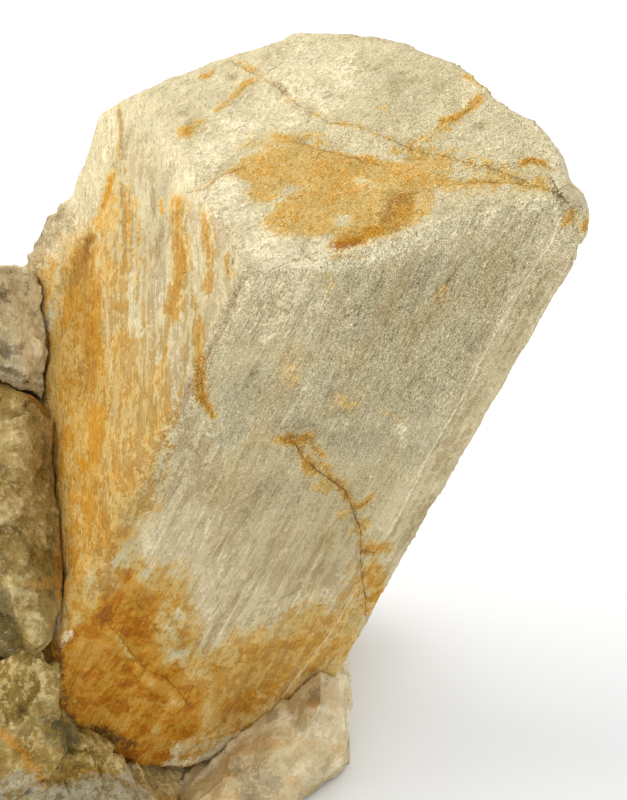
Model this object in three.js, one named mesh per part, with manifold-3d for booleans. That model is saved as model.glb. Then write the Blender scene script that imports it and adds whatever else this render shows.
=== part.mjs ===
// Spodumene crystal on its matrix, in millimetres, +Z up.
// The origin lies on the flat resting face, near the middle of the matrix. The front is -Y.
import * as THREE from "three";
import { mergeVertices } from "three/addons/utils/BufferGeometryUtils.js";
import Module from "manifold-3d";

const wasm = await Module();
wasm.setup();

// Gap between pieces that touch, and the height of the crystal's foot above the floor.
const GAP = 0.35;
const FOOT_CLEARANCE = 4;

// Crystal: A runs along the front face, B back through the crystal, C up its length.
const CRYSTAL_CORNER = new THREE.Vector3(26.4, -27.1, 108.3);
const CRYSTAL_LENGTH_AXIS = new THREE.Vector3(0.405, -0.018, 0.914).normalize();
const CRYSTAL_FRONT_NORMAL = new THREE.Vector3(0.351, -0.92, -0.172).normalize();
const CRYSTAL_WIDTH = 53.8;
const CRYSTAL_DEPTH = 55.4;
const CRYSTAL_BOTTOM = -100.5;
const CRYSTAL_TOP = 30;
const CRYSTAL_RINGS = 16;

// Front face: where each striation lies along A, and how far in the face lies past it.
const FRONT_STRIAE = [
  { at: 4.6, inward: 0.6 },
  { at: 7.4, inward: 0.1 },
  { at: 12.8, inward: 0.35 },
  { at: 20.4, inward: 0.0 },
  { at: 26.8, inward: 0.55 },
  { at: 29.4, inward: 0.2 },
  { at: 36.2, inward: 0.5 },
  { at: 42.6, inward: 0.25 },
  { at: 46.9, inward: 0.9 },
];
// Left face, from the back: where each ledge lies along B, and how far in the face lies past it.
const LEFT_LEDGES = [
  { at: 44.6, inward: 0.8 },
  { at: 38.0, inward: 0.4 },
  { at: 29.5, inward: 0.9 },
  { at: 21.0, inward: 0.3 },
  { at: 12.5, inward: 0.7 },
  { at: 6.5, inward: 0.1 },
];
const STRIA_WIDTH = 0.5;

// Right and back sides, as corners of the cross-section.
const RIGHT_AND_BACK = [
  [53.3, 0.5],
  [53.8, 1.3],
  [52.6, 5.0],
  [50.4, 9.4],
  [48.6, 13.4],
  [48.6, 17.0],
  [46.6, 23.4],
  [45.4, 29.6],
  [44.6, 35.4],
  [42.2, 40.8],
  [39.2, 45.6],
  [35.8, 48.2],
  [32.6, 50.4],
  [26.4, 53.4],
  [20.4, 51.8],
  [15.8, 51.8],
  [8.6, 53.6],
  [2.6, 55.0],
];
// Back-left edge: how far back it lies, by height.
const BACK_LEFT_EDGE = [
  [-60, 54.6],
  [-41, 55.0],
  [-35, 53.8],
  [-29, 52.6],
  [-23, 52.8],
  [-12, 55.4],
];

// Top face: slope along A and B, and its broken edges.
const TOP_SLOPE_A = 0.452;
const TOP_SLOPE_B = -0.033;
const TOP_CELLS = 26;
const TOP_BEVEL = { middle: 12, spread: 9, depth: 3.0, slope: 0.8 };
const TOP_STEP_LINE = [
  [15.2, 56.0],
  [17.9, 40.3],
  [21.1, 30.4],
  [26.8, 22.0],
  [33.1, 15.4],
  [39.3, 8.9],
  [45.0, 0.0],
];
const TOP_STEP = 0.8;
const TOP_CHIPS = [
  { a: 15.7, b: 51.5, h: 5.4, slopeA: 0.82, slopeB: -1.15 },
  { a: 45.8, b: 2.4, h: 20.8, slopeA: -0.72, slopeB: 0.35 },
  { a: 51.4, b: 0, h: 16.4, slopeA: -3.5, slopeB: 0 },
];

// Cracks: corners as [A, height] on the front face and [A, B] on the top face.
const FRONT_CRACK = [
  [21.4, -29.7],
  [27.9, -34.5],
  [33.0, -36.5],
  [37.0, -39.6],
  [39.6, -43.0],
  [42.2, -45.8],
  [43.4, -50.4],
  [47.5, -55.6],
  [51.6, -62.8],
];
const CRACK_WIDTH = 1.6;
const CRACK_DEPTH = 1.3;

// Flat breaks of the matrix: a point on each, and the way it faces.
const DARK_TOP = { at: [-5, -26.2, 40], facing: [0.25, -0.1, 0.96] };
const DARK_RIGHT = { at: [-3.4, -24.2, 32.9], facing: [1, 0, 0.05] };
const DARK_SLOPE = { at: [1.5, -19.4, 17.9], facing: [0.85, -0.06, 0.53] };
const PALE_TOP = { at: [29.5, -8, 14.2], facing: [-0.63, -0.12, 0.77] };
const PALE_RIGHT = { at: [41.8, -5, 15], facing: [1, -0.1, 0] };
const PALE_CORNER = { at: [41.8, -9, 5], facing: [0.75, -0.6, -0.25] };

// Matrix lumps: middle, half sizes, turn about X, Y and Z in degrees, and how each is broken.
const UPPER_BLOCK = [
  { middle: [-25, 16, 62], half: [24, 20, 29], turn: [0, 12, 0], seed: 3, planes: 11 },
];
const TONGUE = [
  { middle: [-13, -6, 53], half: [16, 28, 14], turn: [37, 0, 22], seed: 8, planes: 9 },
];
const DARK_ROCK = [
  {
    middle: [-19, -6, 20],
    half: [28, 27, 33],
    turn: [0, 0, 0],
    seed: 21,
    planes: 13,
    breaks: [DARK_RIGHT],
  },
  {
    middle: [-12, -22, 16],
    half: [22, 14, 34],
    turn: [0, 0, 0],
    seed: 2,
    planes: 10,
    breaks: [DARK_TOP, DARK_RIGHT],
  },
  { middle: [-17, 25, 22], half: [29, 26, 36], turn: [0, 0, 20], seed: 5, planes: 12 },
  {
    middle: [-3, -18, 4],
    half: [24, 13, 25],
    turn: [0, 0, 0],
    seed: 12,
    planes: 10,
    breaks: [DARK_SLOPE],
  },
  { middle: [6, 12, 0], half: [30, 28, 12], turn: [0, 0, 0], seed: 16, planes: 10 },
];
const PALE_ROCK = [
  {
    middle: [27, 2, 8],
    half: [22, 22, 27],
    turn: [0, 0, 0],
    seed: 31,
    planes: 12,
    breaks: [PALE_TOP, PALE_RIGHT, PALE_CORNER],
  },
  { middle: [18, 25, 8], half: [29, 24, 27], turn: [0, 0, 0], seed: 14, planes: 12 },
  {
    middle: [19, -10, 2],
    half: [29, 14, 24],
    turn: [0, 0, 0],
    seed: 9,
    planes: 11,
    breaks: [PALE_TOP, PALE_RIGHT, PALE_CORNER],
  },
];
const ROCK_DETAIL = 5;
const ROCK_ROUGHNESS = 1.1;
const ROCK_GRAIN = 5;

const COLOURS = {
  spodumene_crystal: 0xd8c494,
  upper_feldspar_block: 0xa08f72,
  smoky_quartz_tongue: 0x8f7a50,
  dark_matrix: 0x6e6440,
  pale_quartz_matrix: 0xd9c9a0,
};

// Repeatable value noise between -1 and 1.
function lattice(x, y, z) {
  const s = Math.sin(x * 127.1 + y * 311.7 + z * 74.7) * 43758.5453;
  return 2 * (s - Math.floor(s)) - 1;
}

function noise(x, y, z) {
  const cell = [Math.floor(x), Math.floor(y), Math.floor(z)];
  const part = [x, y, z].map((value, i) => THREE.MathUtils.smoothstep(value - cell[i], 0, 1));
  let sum = 0;
  for (let corner = 0; corner < 8; corner += 1) {
    const bits = [corner & 1, (corner >> 1) & 1, (corner >> 2) & 1];
    const weight = bits.reduce((w, bit, i) => w * (bit ? part[i] : 1 - part[i]), 1);
    sum += weight * lattice(cell[0] + bits[0], cell[1] + bits[1], cell[2] + bits[2]);
  }
  return sum;
}

// A closed geometry as a solid that can be joined and cut.
function solid(geometry) {
  const bare = geometry.clone();
  bare.deleteAttribute("normal");
  bare.deleteAttribute("uv");
  const merged = mergeVertices(bare, 1e-4);
  return new wasm.Manifold(
    new wasm.Mesh({
      numProp: 3,
      vertProperties: new Float32Array(merged.attributes.position.array),
      triVerts: new Uint32Array(merged.index.array),
    }),
  );
}

// Rings of points, all of one length, joined into a skin with a fan at each end.
function loft(rings) {
  const count = rings[0].length;
  const points = rings.flat();
  const index = [];
  for (let r = 0; r + 1 < rings.length; r += 1) {
    for (let i = 0; i < count; i += 1) {
      const a = r * count + i;
      const b = r * count + ((i + 1) % count);
      index.push(a, b, b + count, a, b + count, a + count);
    }
  }
  for (const [ring, flip] of [[0, true], [rings.length - 1, false]]) {
    const middle = new THREE.Vector3();
    rings[ring].forEach((p) => middle.addScaledVector(p, 1 / count));
    points.push(middle);
    for (let i = 0; i < count; i += 1) {
      const a = ring * count + i;
      const b = ring * count + ((i + 1) % count);
      index.push(...(flip ? [b, a, points.length - 1] : [a, b, points.length - 1]));
    }
  }
  const geometry = new THREE.BufferGeometry().setFromPoints(points);
  geometry.setIndex(index);
  return geometry;
}

// The crystal's own frame: A, B and C to part coordinates.
function crystalFrame() {
  const c = CRYSTAL_LENGTH_AXIS;
  const out = CRYSTAL_FRONT_NORMAL.clone();
  out.addScaledVector(c, -out.dot(c)).normalize();
  const b = out.negate();
  const a = new THREE.Vector3().crossVectors(b, c);
  return new THREE.Matrix4().makeBasis(a, b, c).setPosition(CRYSTAL_CORNER);
}

// How far in a face lies past a striation, which fades in and out along the crystal.
function inwardAt({ at, inward }, h) {
  return inward * (0.75 + 0.5 * noise(at * 0.7, 3.1, h / 26));
}

// A value read off a list of [place, value] corners, level past its ends.
function along(corners, place) {
  const next = corners.findIndex((corner) => corner[0] > place);
  if (next === 0) return corners[0][1];
  if (next < 0) return corners[corners.length - 1][1];
  const [p0, v0] = corners[next - 1];
  const [p1, v1] = corners[next];
  return THREE.MathUtils.mapLinear(place, p0, p1, v0, v1);
}

// Cross-section at height h, counterclockwise from the front-left edge.
function sectionAt(h) {
  const points = [
    [0.0, 3.6],
    [0.6, 1.1],
    [2.6, 0.0],
  ];
  let inward = 0;
  for (const stria of FRONT_STRIAE) {
    points.push([stria.at - STRIA_WIDTH, inward]);
    inward = inwardAt(stria, h);
    points.push([stria.at + STRIA_WIDTH, inward]);
  }
  points.push(...RIGHT_AND_BACK);
  points.push([0, along(BACK_LEFT_EDGE, h)]);
  inward = 0;
  for (const ledge of LEFT_LEDGES) {
    points.push([inward, ledge.at + STRIA_WIDTH]);
    inward = inwardAt(ledge, h);
    points.push([inward, ledge.at - STRIA_WIDTH]);
  }
  return points;
}

// The crystal's sides, up to above its top face.
function crystalPrism() {
  const rings = [];
  for (let r = 0; r <= CRYSTAL_RINGS; r += 1) {
    const h = THREE.MathUtils.lerp(CRYSTAL_BOTTOM, CRYSTAL_TOP, r / CRYSTAL_RINGS);
    rings.push(
      sectionAt(h).map(([a, b]) => {
        const wave = 0.35 * noise(a / 9, b / 9, h / 14);
        return new THREE.Vector3(a + wave, b + 0.6 * wave, h);
      }),
    );
  }
  return loft(rings);
}

// Which side of a line of corners a place lies on: above 0 to its right.
function sideOf(line, a, b) {
  const next = line.findIndex((corner) => corner[1] < b);
  const i = next < 1 ? 1 : next;
  const [a0, b0] = line[i - 1];
  const [a1, b1] = line[i];
  return a - THREE.MathUtils.mapLinear(b, b0, b1, a0, a1);
}

// Height of the top face over a place of the cross-section.
function topHeight(a, b) {
  const bevel = TOP_BEVEL;
  const hollow = Math.exp(-(((a - bevel.middle) / bevel.spread) ** 2));
  const edge = Math.max(0, 0.9 + bevel.depth * hollow - bevel.slope * Math.max(b, 0));
  const behindCrack = THREE.MathUtils.smoothstep(sideOf(TOP_STEP_LINE, a, b), -0.7, 0.7);
  const ripple = 0.45 * noise(a / 6, b / 6, 0.5) + 0.2 * noise(a / 2.3, b / 2.3, 4.5);
  const heights = [
    TOP_SLOPE_A * a + TOP_SLOPE_B * b - edge + TOP_STEP * (behindCrack - 0.5),
    ...TOP_CHIPS.map((chip) => chip.h + chip.slopeA * (a - chip.a) + chip.slopeB * (b - chip.b)),
  ];
  return Math.min(...heights) + ripple;
}

// Everything above the top face, to be cut away.
function aboveTop() {
  const margin = 3;
  const roof = CRYSTAL_TOP + 5;
  const box = new THREE.BoxGeometry(
    CRYSTAL_WIDTH + 2 * margin, CRYSTAL_DEPTH + 2 * margin, 2, TOP_CELLS, TOP_CELLS, 1,
  );
  box.translate(CRYSTAL_WIDTH / 2, CRYSTAL_DEPTH / 2, 0);
  const place = box.attributes.position;
  for (let i = 0; i < place.count; i += 1) {
    const h = place.getZ(i) > 0 ? roof : topHeight(place.getX(i), place.getY(i));
    place.setZ(i, h);
  }
  return box;
}

// A V-shaped crack along corners on the front face.
function frontCrack() {
  const rings = FRONT_CRACK.map(([a, h], i) => {
    const width = CRACK_WIDTH * (i === 0 || i === FRONT_CRACK.length - 1 ? 0.4 : 1);
    return [
      new THREE.Vector3(a - width / 2, -0.6, h - width / 2),
      new THREE.Vector3(a, CRACK_DEPTH, h),
      new THREE.Vector3(a + width / 2, -0.6, h + width / 2),
    ];
  });
  return loft(rings);
}

// Half-space above a height, as a large block.
function above(height) {
  const block = new THREE.BoxGeometry(400, 400, 300);
  block.translate(0, 0, height + 150);
  return solid(block);
}

// The crystal, or with grow above 0 the room that it takes with a gap around it.
function crystal(grow) {
  const frame = crystalFrame();
  const widen = new THREE.Matrix4().makeTranslation(CRYSTAL_WIDTH / 2, CRYSTAL_DEPTH / 2, -grow);
  const factor = 1 + (2 * grow) / CRYSTAL_WIDTH;
  widen.multiply(new THREE.Matrix4().makeScale(factor, factor, 1));
  widen.multiply(
    new THREE.Matrix4().makeTranslation(-CRYSTAL_WIDTH / 2, -CRYSTAL_DEPTH / 2, 0),
  );
  let made = solid(crystalPrism().applyMatrix4(widen).applyMatrix4(frame));
  if (grow === 0) {
    made = made.subtract(solid(aboveTop().applyMatrix4(frame)));
    made = made.subtract(solid(frontCrack().applyMatrix4(frame)));
  }
  return made.intersect(above(FOOT_CLEARANCE - grow));
}

// A lump of broken rock: a ball cut by flat breaks, roughened.
function lump({ middle, half, turn, seed, planes, breaks = [] }, grow) {
  const size = new THREE.Vector3(...half);
  const degrees = turn.map((angle) => THREE.MathUtils.degToRad(angle));
  const spin = new THREE.Matrix4().makeRotationFromEuler(new THREE.Euler(...degrees, "ZYX"));
  const cuts = [];
  for (let i = 0; i < planes; i += 1) {
    const z = 2 * ((i + 0.5) / planes) - 1;
    const around = i * 2.4 + seed;
    const flat = Math.sqrt(1 - z * z);
    const normal = new THREE.Vector3(flat * Math.cos(around), flat * Math.sin(around), z);
    cuts.push({ normal, reach: 0.76 + 0.1 * lattice(i, seed, 1) });
  }
  for (const { at, facing } of breaks) {
    const outward = new THREE.Vector3(...facing).normalize();
    const reach = new THREE.Vector3(...at).sub(new THREE.Vector3(...middle)).dot(outward);
    const normal = outward.transformDirection(spin.clone().invert()).multiply(size);
    cuts.push({ normal: normal.clone().normalize(), reach: reach / normal.length() });
  }
  const ball = new THREE.IcosahedronGeometry(1, ROCK_DETAIL);
  const place = ball.attributes.position;
  const p = new THREE.Vector3();
  for (let i = 0; i < place.count; i += 1) {
    p.fromBufferAttribute(place, i).normalize();
    let reach = 1;
    for (const cut of cuts) {
      const lean = p.dot(cut.normal);
      if (lean > 0.05) reach = Math.min(reach, cut.reach / lean);
    }
    const at = p.clone().multiply(size).multiplyScalar(1 / ROCK_GRAIN);
    const rough = ROCK_ROUGHNESS * noise(at.x + seed, at.y, at.z);
    const out = p.clone();
    p.multiplyScalar(reach).multiply(size).addScaledVector(out, rough + grow);
    place.setXYZ(i, p.x, p.y, p.z);
  }
  ball.applyMatrix4(spin);
  ball.translate(...middle);
  return solid(ball);
}

// Lumps joined into one rock.
function rock(lumps, grow) {
  return lumps.map((one) => lump(one, grow)).reduce((all, one) => all.add(one));
}

// The largest body of a cut rock: loose slivers are left out.
function largest(made) {
  return made.decompose().sort((a, b) => b.volume() - a.volume())[0];
}

// A rock standing on the floor, cut clear of its neighbours.
function standing(lumps, neighbours) {
  let made = rock(lumps, 0).intersect(above(0));
  for (const other of neighbours) made = made.subtract(other);
  return largest(made);
}

function node(name, made) {
  const mesh = made.getMesh();
  const geometry = new THREE.BufferGeometry();
  geometry.setAttribute("position", new THREE.BufferAttribute(new Float32Array(mesh.vertProperties), 3));
  geometry.setIndex(new THREE.BufferAttribute(new Uint32Array(mesh.triVerts), 1));
  const material = new THREE.MeshStandardMaterial({ color: COLOURS[name], roughness: 0.8 });
  const made3d = new THREE.Mesh(geometry, material);
  made3d.name = name;
  return made3d;
}

const crystalRoom = crystal(GAP);
const tongueRoom = rock(TONGUE, GAP);
const upperRoom = rock(UPPER_BLOCK, GAP);
const darkRoom = rock(DARK_ROCK, GAP);

const specimen = new THREE.Group();
specimen.name = "spodumene_specimen";
specimen.add(node("spodumene_crystal", largest(crystal(0))));
specimen.add(node("smoky_quartz_tongue", standing(TONGUE, [crystalRoom])));
specimen.add(node("upper_feldspar_block", standing(UPPER_BLOCK, [crystalRoom, tongueRoom])));
specimen.add(node("dark_matrix", standing(DARK_ROCK, [crystalRoom, tongueRoom, upperRoom])));
specimen.add(
  node("pale_quartz_matrix", standing(PALE_ROCK, [crystalRoom, tongueRoom, upperRoom, darkRoom])),
);

export default specimen;
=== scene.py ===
import itertools
import math
from types import SimpleNamespace

import bpy
import numpy as np
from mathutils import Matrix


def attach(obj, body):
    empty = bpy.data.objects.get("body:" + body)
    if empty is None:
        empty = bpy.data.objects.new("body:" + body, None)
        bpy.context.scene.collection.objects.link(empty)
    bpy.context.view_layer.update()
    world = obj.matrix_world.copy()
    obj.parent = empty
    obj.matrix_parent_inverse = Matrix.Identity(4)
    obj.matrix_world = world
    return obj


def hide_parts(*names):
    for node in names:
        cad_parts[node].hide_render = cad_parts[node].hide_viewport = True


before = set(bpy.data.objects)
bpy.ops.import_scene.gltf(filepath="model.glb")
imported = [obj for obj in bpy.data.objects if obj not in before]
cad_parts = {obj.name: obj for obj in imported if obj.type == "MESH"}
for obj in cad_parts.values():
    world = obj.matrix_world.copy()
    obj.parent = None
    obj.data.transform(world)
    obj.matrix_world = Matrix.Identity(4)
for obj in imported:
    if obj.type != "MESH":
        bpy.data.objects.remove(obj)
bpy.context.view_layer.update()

METRE = 1000.0

# Camera
PICTURE_WIDTH = 627
PICTURE_HEIGHT = 800
AIM = np.array([36.0, -16.0, 79.0])
DISTANCE = 400.0
ELEVATION = math.radians(32)
LENS = 120.0
SENSOR = 36.0
CLIP_START = 0.02
FOCAL_PIXELS = LENS / SENSOR * PICTURE_HEIGHT
PIXEL_SIZE = DISTANCE / FOCAL_PIXELS
VIEW_RIGHT = np.array([1.0, 0.0, 0.0])
VIEW_UP = np.array([0.0, math.sin(ELEVATION), math.cos(ELEVATION)])
VIEW_BACK = np.array([0.0, -math.cos(ELEVATION), math.sin(ELEVATION)])
CAMERA_PLACE = AIM + DISTANCE * VIEW_BACK

# Light and floor, in metres
KEY_PLACE = (-0.55, 0.05, 0.68)
KEY_SIZE = 0.6
KEY_POWER = 4.2
KEY_COLOUR = (1.0, 0.975, 0.93)
SKY_COLOUR = (0.965, 0.985, 1.0, 1.0)
SKY_STRENGTH = 0.95
FLOOR_SIZE = 6
FLOOR_ROUGHNESS = 0.7

# Crystal frame: its upper front-left corner, its length, and the way its front face looks
CRYSTAL_CORNER = np.array([26.4, -27.1, 108.3])
LENGTH_AXIS = np.array([0.405, -0.018, 0.914])
FRONT_NORMAL = np.array([0.351, -0.92, -0.172])
TOP_SLOPE = (0.452, -0.033)

# Surface cells that the pieces are remade with
CRYSTAL_CELL = 0.63
ROCK_CELL = 0.6

DISPLAY_GAMMA = 2.2
# How far a pattern moves with each step of its seed, in metres
SEED_STEP = (0.31, 0.17, 0.23)
# How deep light goes into milky rock, in metres for red, green and blue, and how much that counts
MILKY_REACH = (0.004, 0.0028, 0.0016)
MILKY_SCALE = 0.5

# Colours as sRGB from 0 to 255
CREAM = (219, 203, 159)
GREY = (199, 184, 140)
COOL = (160, 152, 120)
OLIVE = (160, 136, 86)
WARM = (198, 172, 116)
PALE = (236, 221, 180)
# Brown of the shade channel: brown stains in most places, and painted shade low on the front face, on its
# narrow right strip and beside the loose block
BROWN = (140, 106, 54)
DARK = (74, 56, 32)
# Dark of cracks and seams, and painted shade along grooves
CRACK_AND_GROOVE_SHADE = (122, 84, 32)
# Painted highlight along ridges and face edges
EDGE_HIGHLIGHT = (240, 226, 190)
GLINT = (236, 228, 204)
FLOOR = (250, 250, 250)
# Iron stain from thin to thick: where each tone starts and is full, and the tone
IRON_TONES = (
    (0.05, 0.35, (214, 180, 108)),
    (0.35, 0.68, (196, 140, 42)),
    (0.68, 0.94, (172, 103, 8)),
    (0.94, 1.2, (138, 78, 16)),
)
# How thick each kind of painted stain is
IRON_LEVELS = {"ochre": 0.48, "orange": 0.72, "rust": 0.98}

# The crumbly back-left rim of the crystal, in pixels, and how far it stands out
RIM_LINE = [(70, 212), (60, 220), (50, 236), (40, 256), (36, 272)]
RIM_REACH = 16
RIM_BULGE = 2.0
# The loose block at the crystal's right corner, in the same way
LOOSE_LINE = [(578, 202), (585, 212), (587, 221)]
LOOSE_REACH = 27
LOOSE_BULGE = 1.5
# How deep the furrow along a dark line is, and a distance at which a line has no effect
FURROW_DEPTH = 0.22
OUT_OF_REACH = 9

# Relief of the crystal in millimetres, and how its ribs and hidden stains are drawn out along it
FINE_WEAR = 0.22
BROAD_WEAR = 0.3
RIB_DEPTH = 0.28
PIT_DEPTH = 0.5
RIB_STRETCH = np.array([1.0, 0.3, 0.05])
RUN_STRETCH = np.array([1.0, 1.0, 0.18])
# How far noise skews the facets of the rocks
FACET_SKEW = 1.6

# Where the sugary grain grows, in millimetres from the crystal's corner: up the front face, and to the
# right and to the front of the top. Then where the hidden stains thicken, down towards the foot.
SUGARY_UP = (-62, -6)
SUGARY_RIGHT = (10, 40)
SUGARY_FRONT = (50, 20)
STAINED_FOOT = (-40, -100)

# What is painted: iron stains and "clear", which takes iron away, then tones, and last the angular mosaic
# of the foot and the places where the sugary grain is calm
CRYSTAL_CHANNELS = (
    "ochre", "orange", "rust", "clear", "grey", "cool", "warm", "pale", "shade", "dark", "mosaic", "calm",
)
ROCK_CHANNELS = ("light", "dark", "warm", "cold")
# How far noise bends the outlines of areas and strokes, in pixels
CRYSTAL_AREA_BEND = 4.0
CRYSTAL_STROKE_BEND = 1.8
ROCK_AREA_BEND = 5
ROCK_STROKE_BEND = 2

# Stains on the crystal as areas: channel, strength, softness, and corners in pixels.
# First the ochre patch on the top.
PATCH_AREAS = [
    ("ochre", 0.95, 6, [(216, 176), (234, 162), (256, 150), (290, 144), (316, 148), (330, 152), (370, 158),
        (440, 172), (432, 186), (420, 198), (418, 216), (404, 228), (384, 238), (366, 250), (346, 254),
        (334, 250), (332, 238), (310, 237), (280, 235), (268, 234), (258, 222), (266, 214), (284, 198),
        (304, 184), (284, 190), (264, 203), (250, 203), (240, 195), (248, 190), (246, 180), (234, 174)]),
    ("ochre", 0.75, 9, [(240, 150), (246, 136), (280, 130), (320, 134), (340, 146), (300, 150), (262, 152)]),
    ("ochre", 0.8, 8, [(400, 140), (440, 148), (500, 166), (552, 178), (552, 190), (440, 190), (410, 176)]),
    ("orange", 0.9, 9, [(380, 192), (416, 188), (418, 214), (398, 234), (372, 240), (372, 222), (384, 208)]),
    ("shade", 0.6, 8, [(386, 196), (412, 194), (408, 222), (388, 232), (380, 214)]),
    ("clear", 0.7, 4, [(336, 216), (352, 216), (350, 226), (336, 224)]),
    ("clear", 0.8, 5, [(454, 166), (474, 164), (486, 174), (470, 180), (452, 176)]),
    ("clear", 0.7, 5, [(356, 178), (374, 174), (376, 184), (360, 188)]),
]
# The rest of the top
TOP_AREAS = [
    ("orange", 0.8, 5, [(178, 128), (190, 120), (204, 121), (196, 130), (192, 138), (180, 139)]),
    ("pale", 0.85, 8, [(196, 190), (230, 176), (244, 186), (240, 198), (262, 206), (258, 222), (272, 236),
        (330, 242), (330, 258), (262, 264), (240, 256), (222, 236), (204, 208)]),
    ("pale", 0.6, 10, [(160, 142), (196, 140), (240, 104), (262, 92), (300, 118), (250, 134), (222, 158),
        (192, 186), (176, 168)]),
    ("pale", 0.75, 12, [(262, 78), (300, 40), (345, 50), (360, 84), (330, 108), (296, 100)]),
    ("pale", 1.0, 4, [(550, 152), (557, 156), (562, 174), (566, 184), (558, 190), (552, 184), (554, 166)]),
    ("grey", 0.42, 18, [(340, 74), (420, 62), (470, 84), (462, 108), (400, 120), (350, 112)]),
    ("grey", 0.5, 14, [(448, 134), (500, 118), (540, 138), (548, 160), (500, 158), (456, 150)]),
    ("grey", 0.45, 12, [(420, 210), (470, 194), (550, 196), (556, 230), (500, 250), (430, 244)]),
]
# The loose block at the right corner
LOOSE_AREAS = [
    ("ochre", 0.9, 4, [(561, 208), (571, 206), (574, 224), (560, 226)]),
    ("orange", 0.7, 4, [(576, 216), (583, 212), (588, 228), (576, 230)]),
    ("cool", 0.7, 4, [(569, 190), (578, 196), (582, 210), (574, 212)]),
    ("shade", 0.6, 3, [(558, 190), (568, 186), (574, 192), (562, 194)]),
]
LEFT_AREAS = [
    ("pale", 0.3, 6, [(98, 108), (122, 98), (121, 132), (114, 160), (105, 182), (98, 204), (84, 226),
        (64, 262), (44, 262), (66, 216), (78, 182), (88, 140)]),
    ("orange", 0.8, 12, [(66, 300), (92, 262), (104, 290), (106, 340), (116, 380), (112, 430), (116, 500),
        (112, 560), (96, 600), (84, 622), (62, 642), (48, 560), (42, 470), (36, 390), (42, 330)]),
    ("ochre", 0.8, 10, [(100, 206), (122, 160), (132, 180), (128, 300), (134, 370), (166, 430), (150, 480),
        (126, 540), (108, 560), (100, 500), (96, 400), (84, 300)]),
    ("ochre", 0.7, 8, [(66, 232), (98, 212), (96, 280), (66, 320), (44, 330), (36, 272)]),
    ("ochre", 0.95, 14, [(104, 340), (158, 330), (170, 400), (168, 460), (150, 530), (122, 560), (92, 560),
        (100, 470)]),
    ("rust", 0.72, 9, [(72, 248), (94, 240), (104, 300), (104, 366), (86, 384), (66, 340), (60, 290)]),
    ("shade", 0.62, 16, [(118, 330), (216, 318), (206, 380), (192, 440), (166, 490), (120, 540),
        (108, 440)]),
    ("shade", 0.4, 12, [(66, 244), (98, 236), (106, 330), (100, 400), (70, 400), (58, 320)]),
    ("shade", 0.42, 16, [(190, 206), (228, 210), (244, 270), (226, 320), (184, 330), (130, 320), (126, 240),
        (160, 230)]),
    ("shade", 0.42, 10, [(98, 236), (126, 230), (134, 330), (134, 470), (104, 480)]),
    ("shade", 0.5, 12, [(90, 480), (150, 480), (138, 540), (122, 596), (90, 596)]),
    ("shade", 0.5, 12, [(170, 440), (214, 430), (220, 480), (180, 510), (150, 490)]),
    ("shade", 0.4, 10, [(122, 130), (150, 134), (156, 180), (122, 184)]),
    ("grey", 0.6, 10, [(140, 152), (164, 158), (172, 200), (168, 262), (160, 330), (134, 320), (131, 240)]),
    ("cool", 0.4, 8, [(142, 116), (160, 112), (158, 132), (140, 148)]),
    ("grey", 0.5, 9, [(146, 380), (196, 420), (196, 470), (170, 460), (150, 430)]),
]
FRONT_AREAS = [
    # Grey over the front face: the crystal's own grey, partly painted shade on this face
    ("grey", 0.9, 26, [(246, 290), (360, 262), (440, 246), (520, 236), (540, 250), (420, 450), (392, 520),
        (356, 590), (290, 596), (230, 590), (196, 540), (214, 470), (206, 400), (232, 340)]),
    ("cool", 0.36, 22, [(320, 330), (420, 262), (520, 250), (500, 320), (440, 420), (372, 460), (330, 430),
        (300, 380)]),
    ("cool", 0.45, 14, [(214, 384), (262, 366), (300, 400), (290, 430), (226, 424)]),
    ("cool", 0.4, 12, [(256, 480), (300, 470), (330, 500), (270, 520)]),
    # Painted shade over the lower front face
    ("shade", 0.34, 30, [(130, 590), (190, 490), (300, 470), (372, 480), (390, 560), (350, 660),
        (220, 720)]),
    # Painted shade on the narrow strip at the front face's right
    ("shade", 0.36, 8, [(560, 250), (500, 330), (456, 404), (400, 504), (362, 580), (400, 590), (520, 400),
        (590, 260)]),
    ("calm", 0.6, 8, [(560, 262), (500, 340), (456, 414), (400, 514), (362, 590), (400, 600), (520, 400),
        (590, 270)]),
    ("calm", 0.35, 20, [(250, 286), (330, 286), (310, 350), (250, 400), (206, 400)]),
    ("pale", 0.4, 14, [(248, 280), (310, 270), (326, 306), (290, 340), (240, 332)]),
    ("pale", 0.25, 16, [(160, 520), (196, 500), (250, 530), (262, 600), (240, 640), (206, 650), (190, 590)]),
    ("pale", 0.75, 7, [(134, 536), (150, 516), (176, 524), (172, 560), (150, 566)]),
]
# Along the crack in the front face
CRACK_AREAS = [
    ("shade", 0.5, 12, [(280, 426), (320, 430), (318, 456), (284, 456)]),
    ("orange", 0.9, 4, [(277, 438), (290, 434), (312, 433), (314, 442), (302, 449), (288, 445)]),
    ("ochre", 0.95, 4, [(302, 460), (314, 468), (312, 479), (302, 472)]),
    ("orange", 0.8, 4, [(320, 462), (331, 467), (334, 478), (324, 476)]),
    ("ochre", 1.0, 4, [(309, 483), (326, 478), (331, 488), (314, 493)]),
    ("ochre", 0.9, 4, [(338, 474), (352, 484), (355, 496), (342, 490)]),
    ("orange", 1.0, 3, [(339, 486), (349, 490), (352, 506), (344, 500)]),
    ("orange", 0.85, 4, [(351, 509), (358, 502), (370, 495), (369, 508), (358, 513)]),
    ("orange", 0.7, 4, [(336, 512), (348, 509), (350, 517), (340, 522)]),
    ("orange", 0.7, 4, [(356, 518), (372, 517), (368, 534), (361, 532)]),
    ("ochre", 1.0, 4, [(362, 541), (377, 540), (380, 554), (370, 556)]),
    ("orange", 0.75, 4, [(364, 562), (376, 560), (383, 580), (376, 593), (366, 584)]),
]
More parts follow.
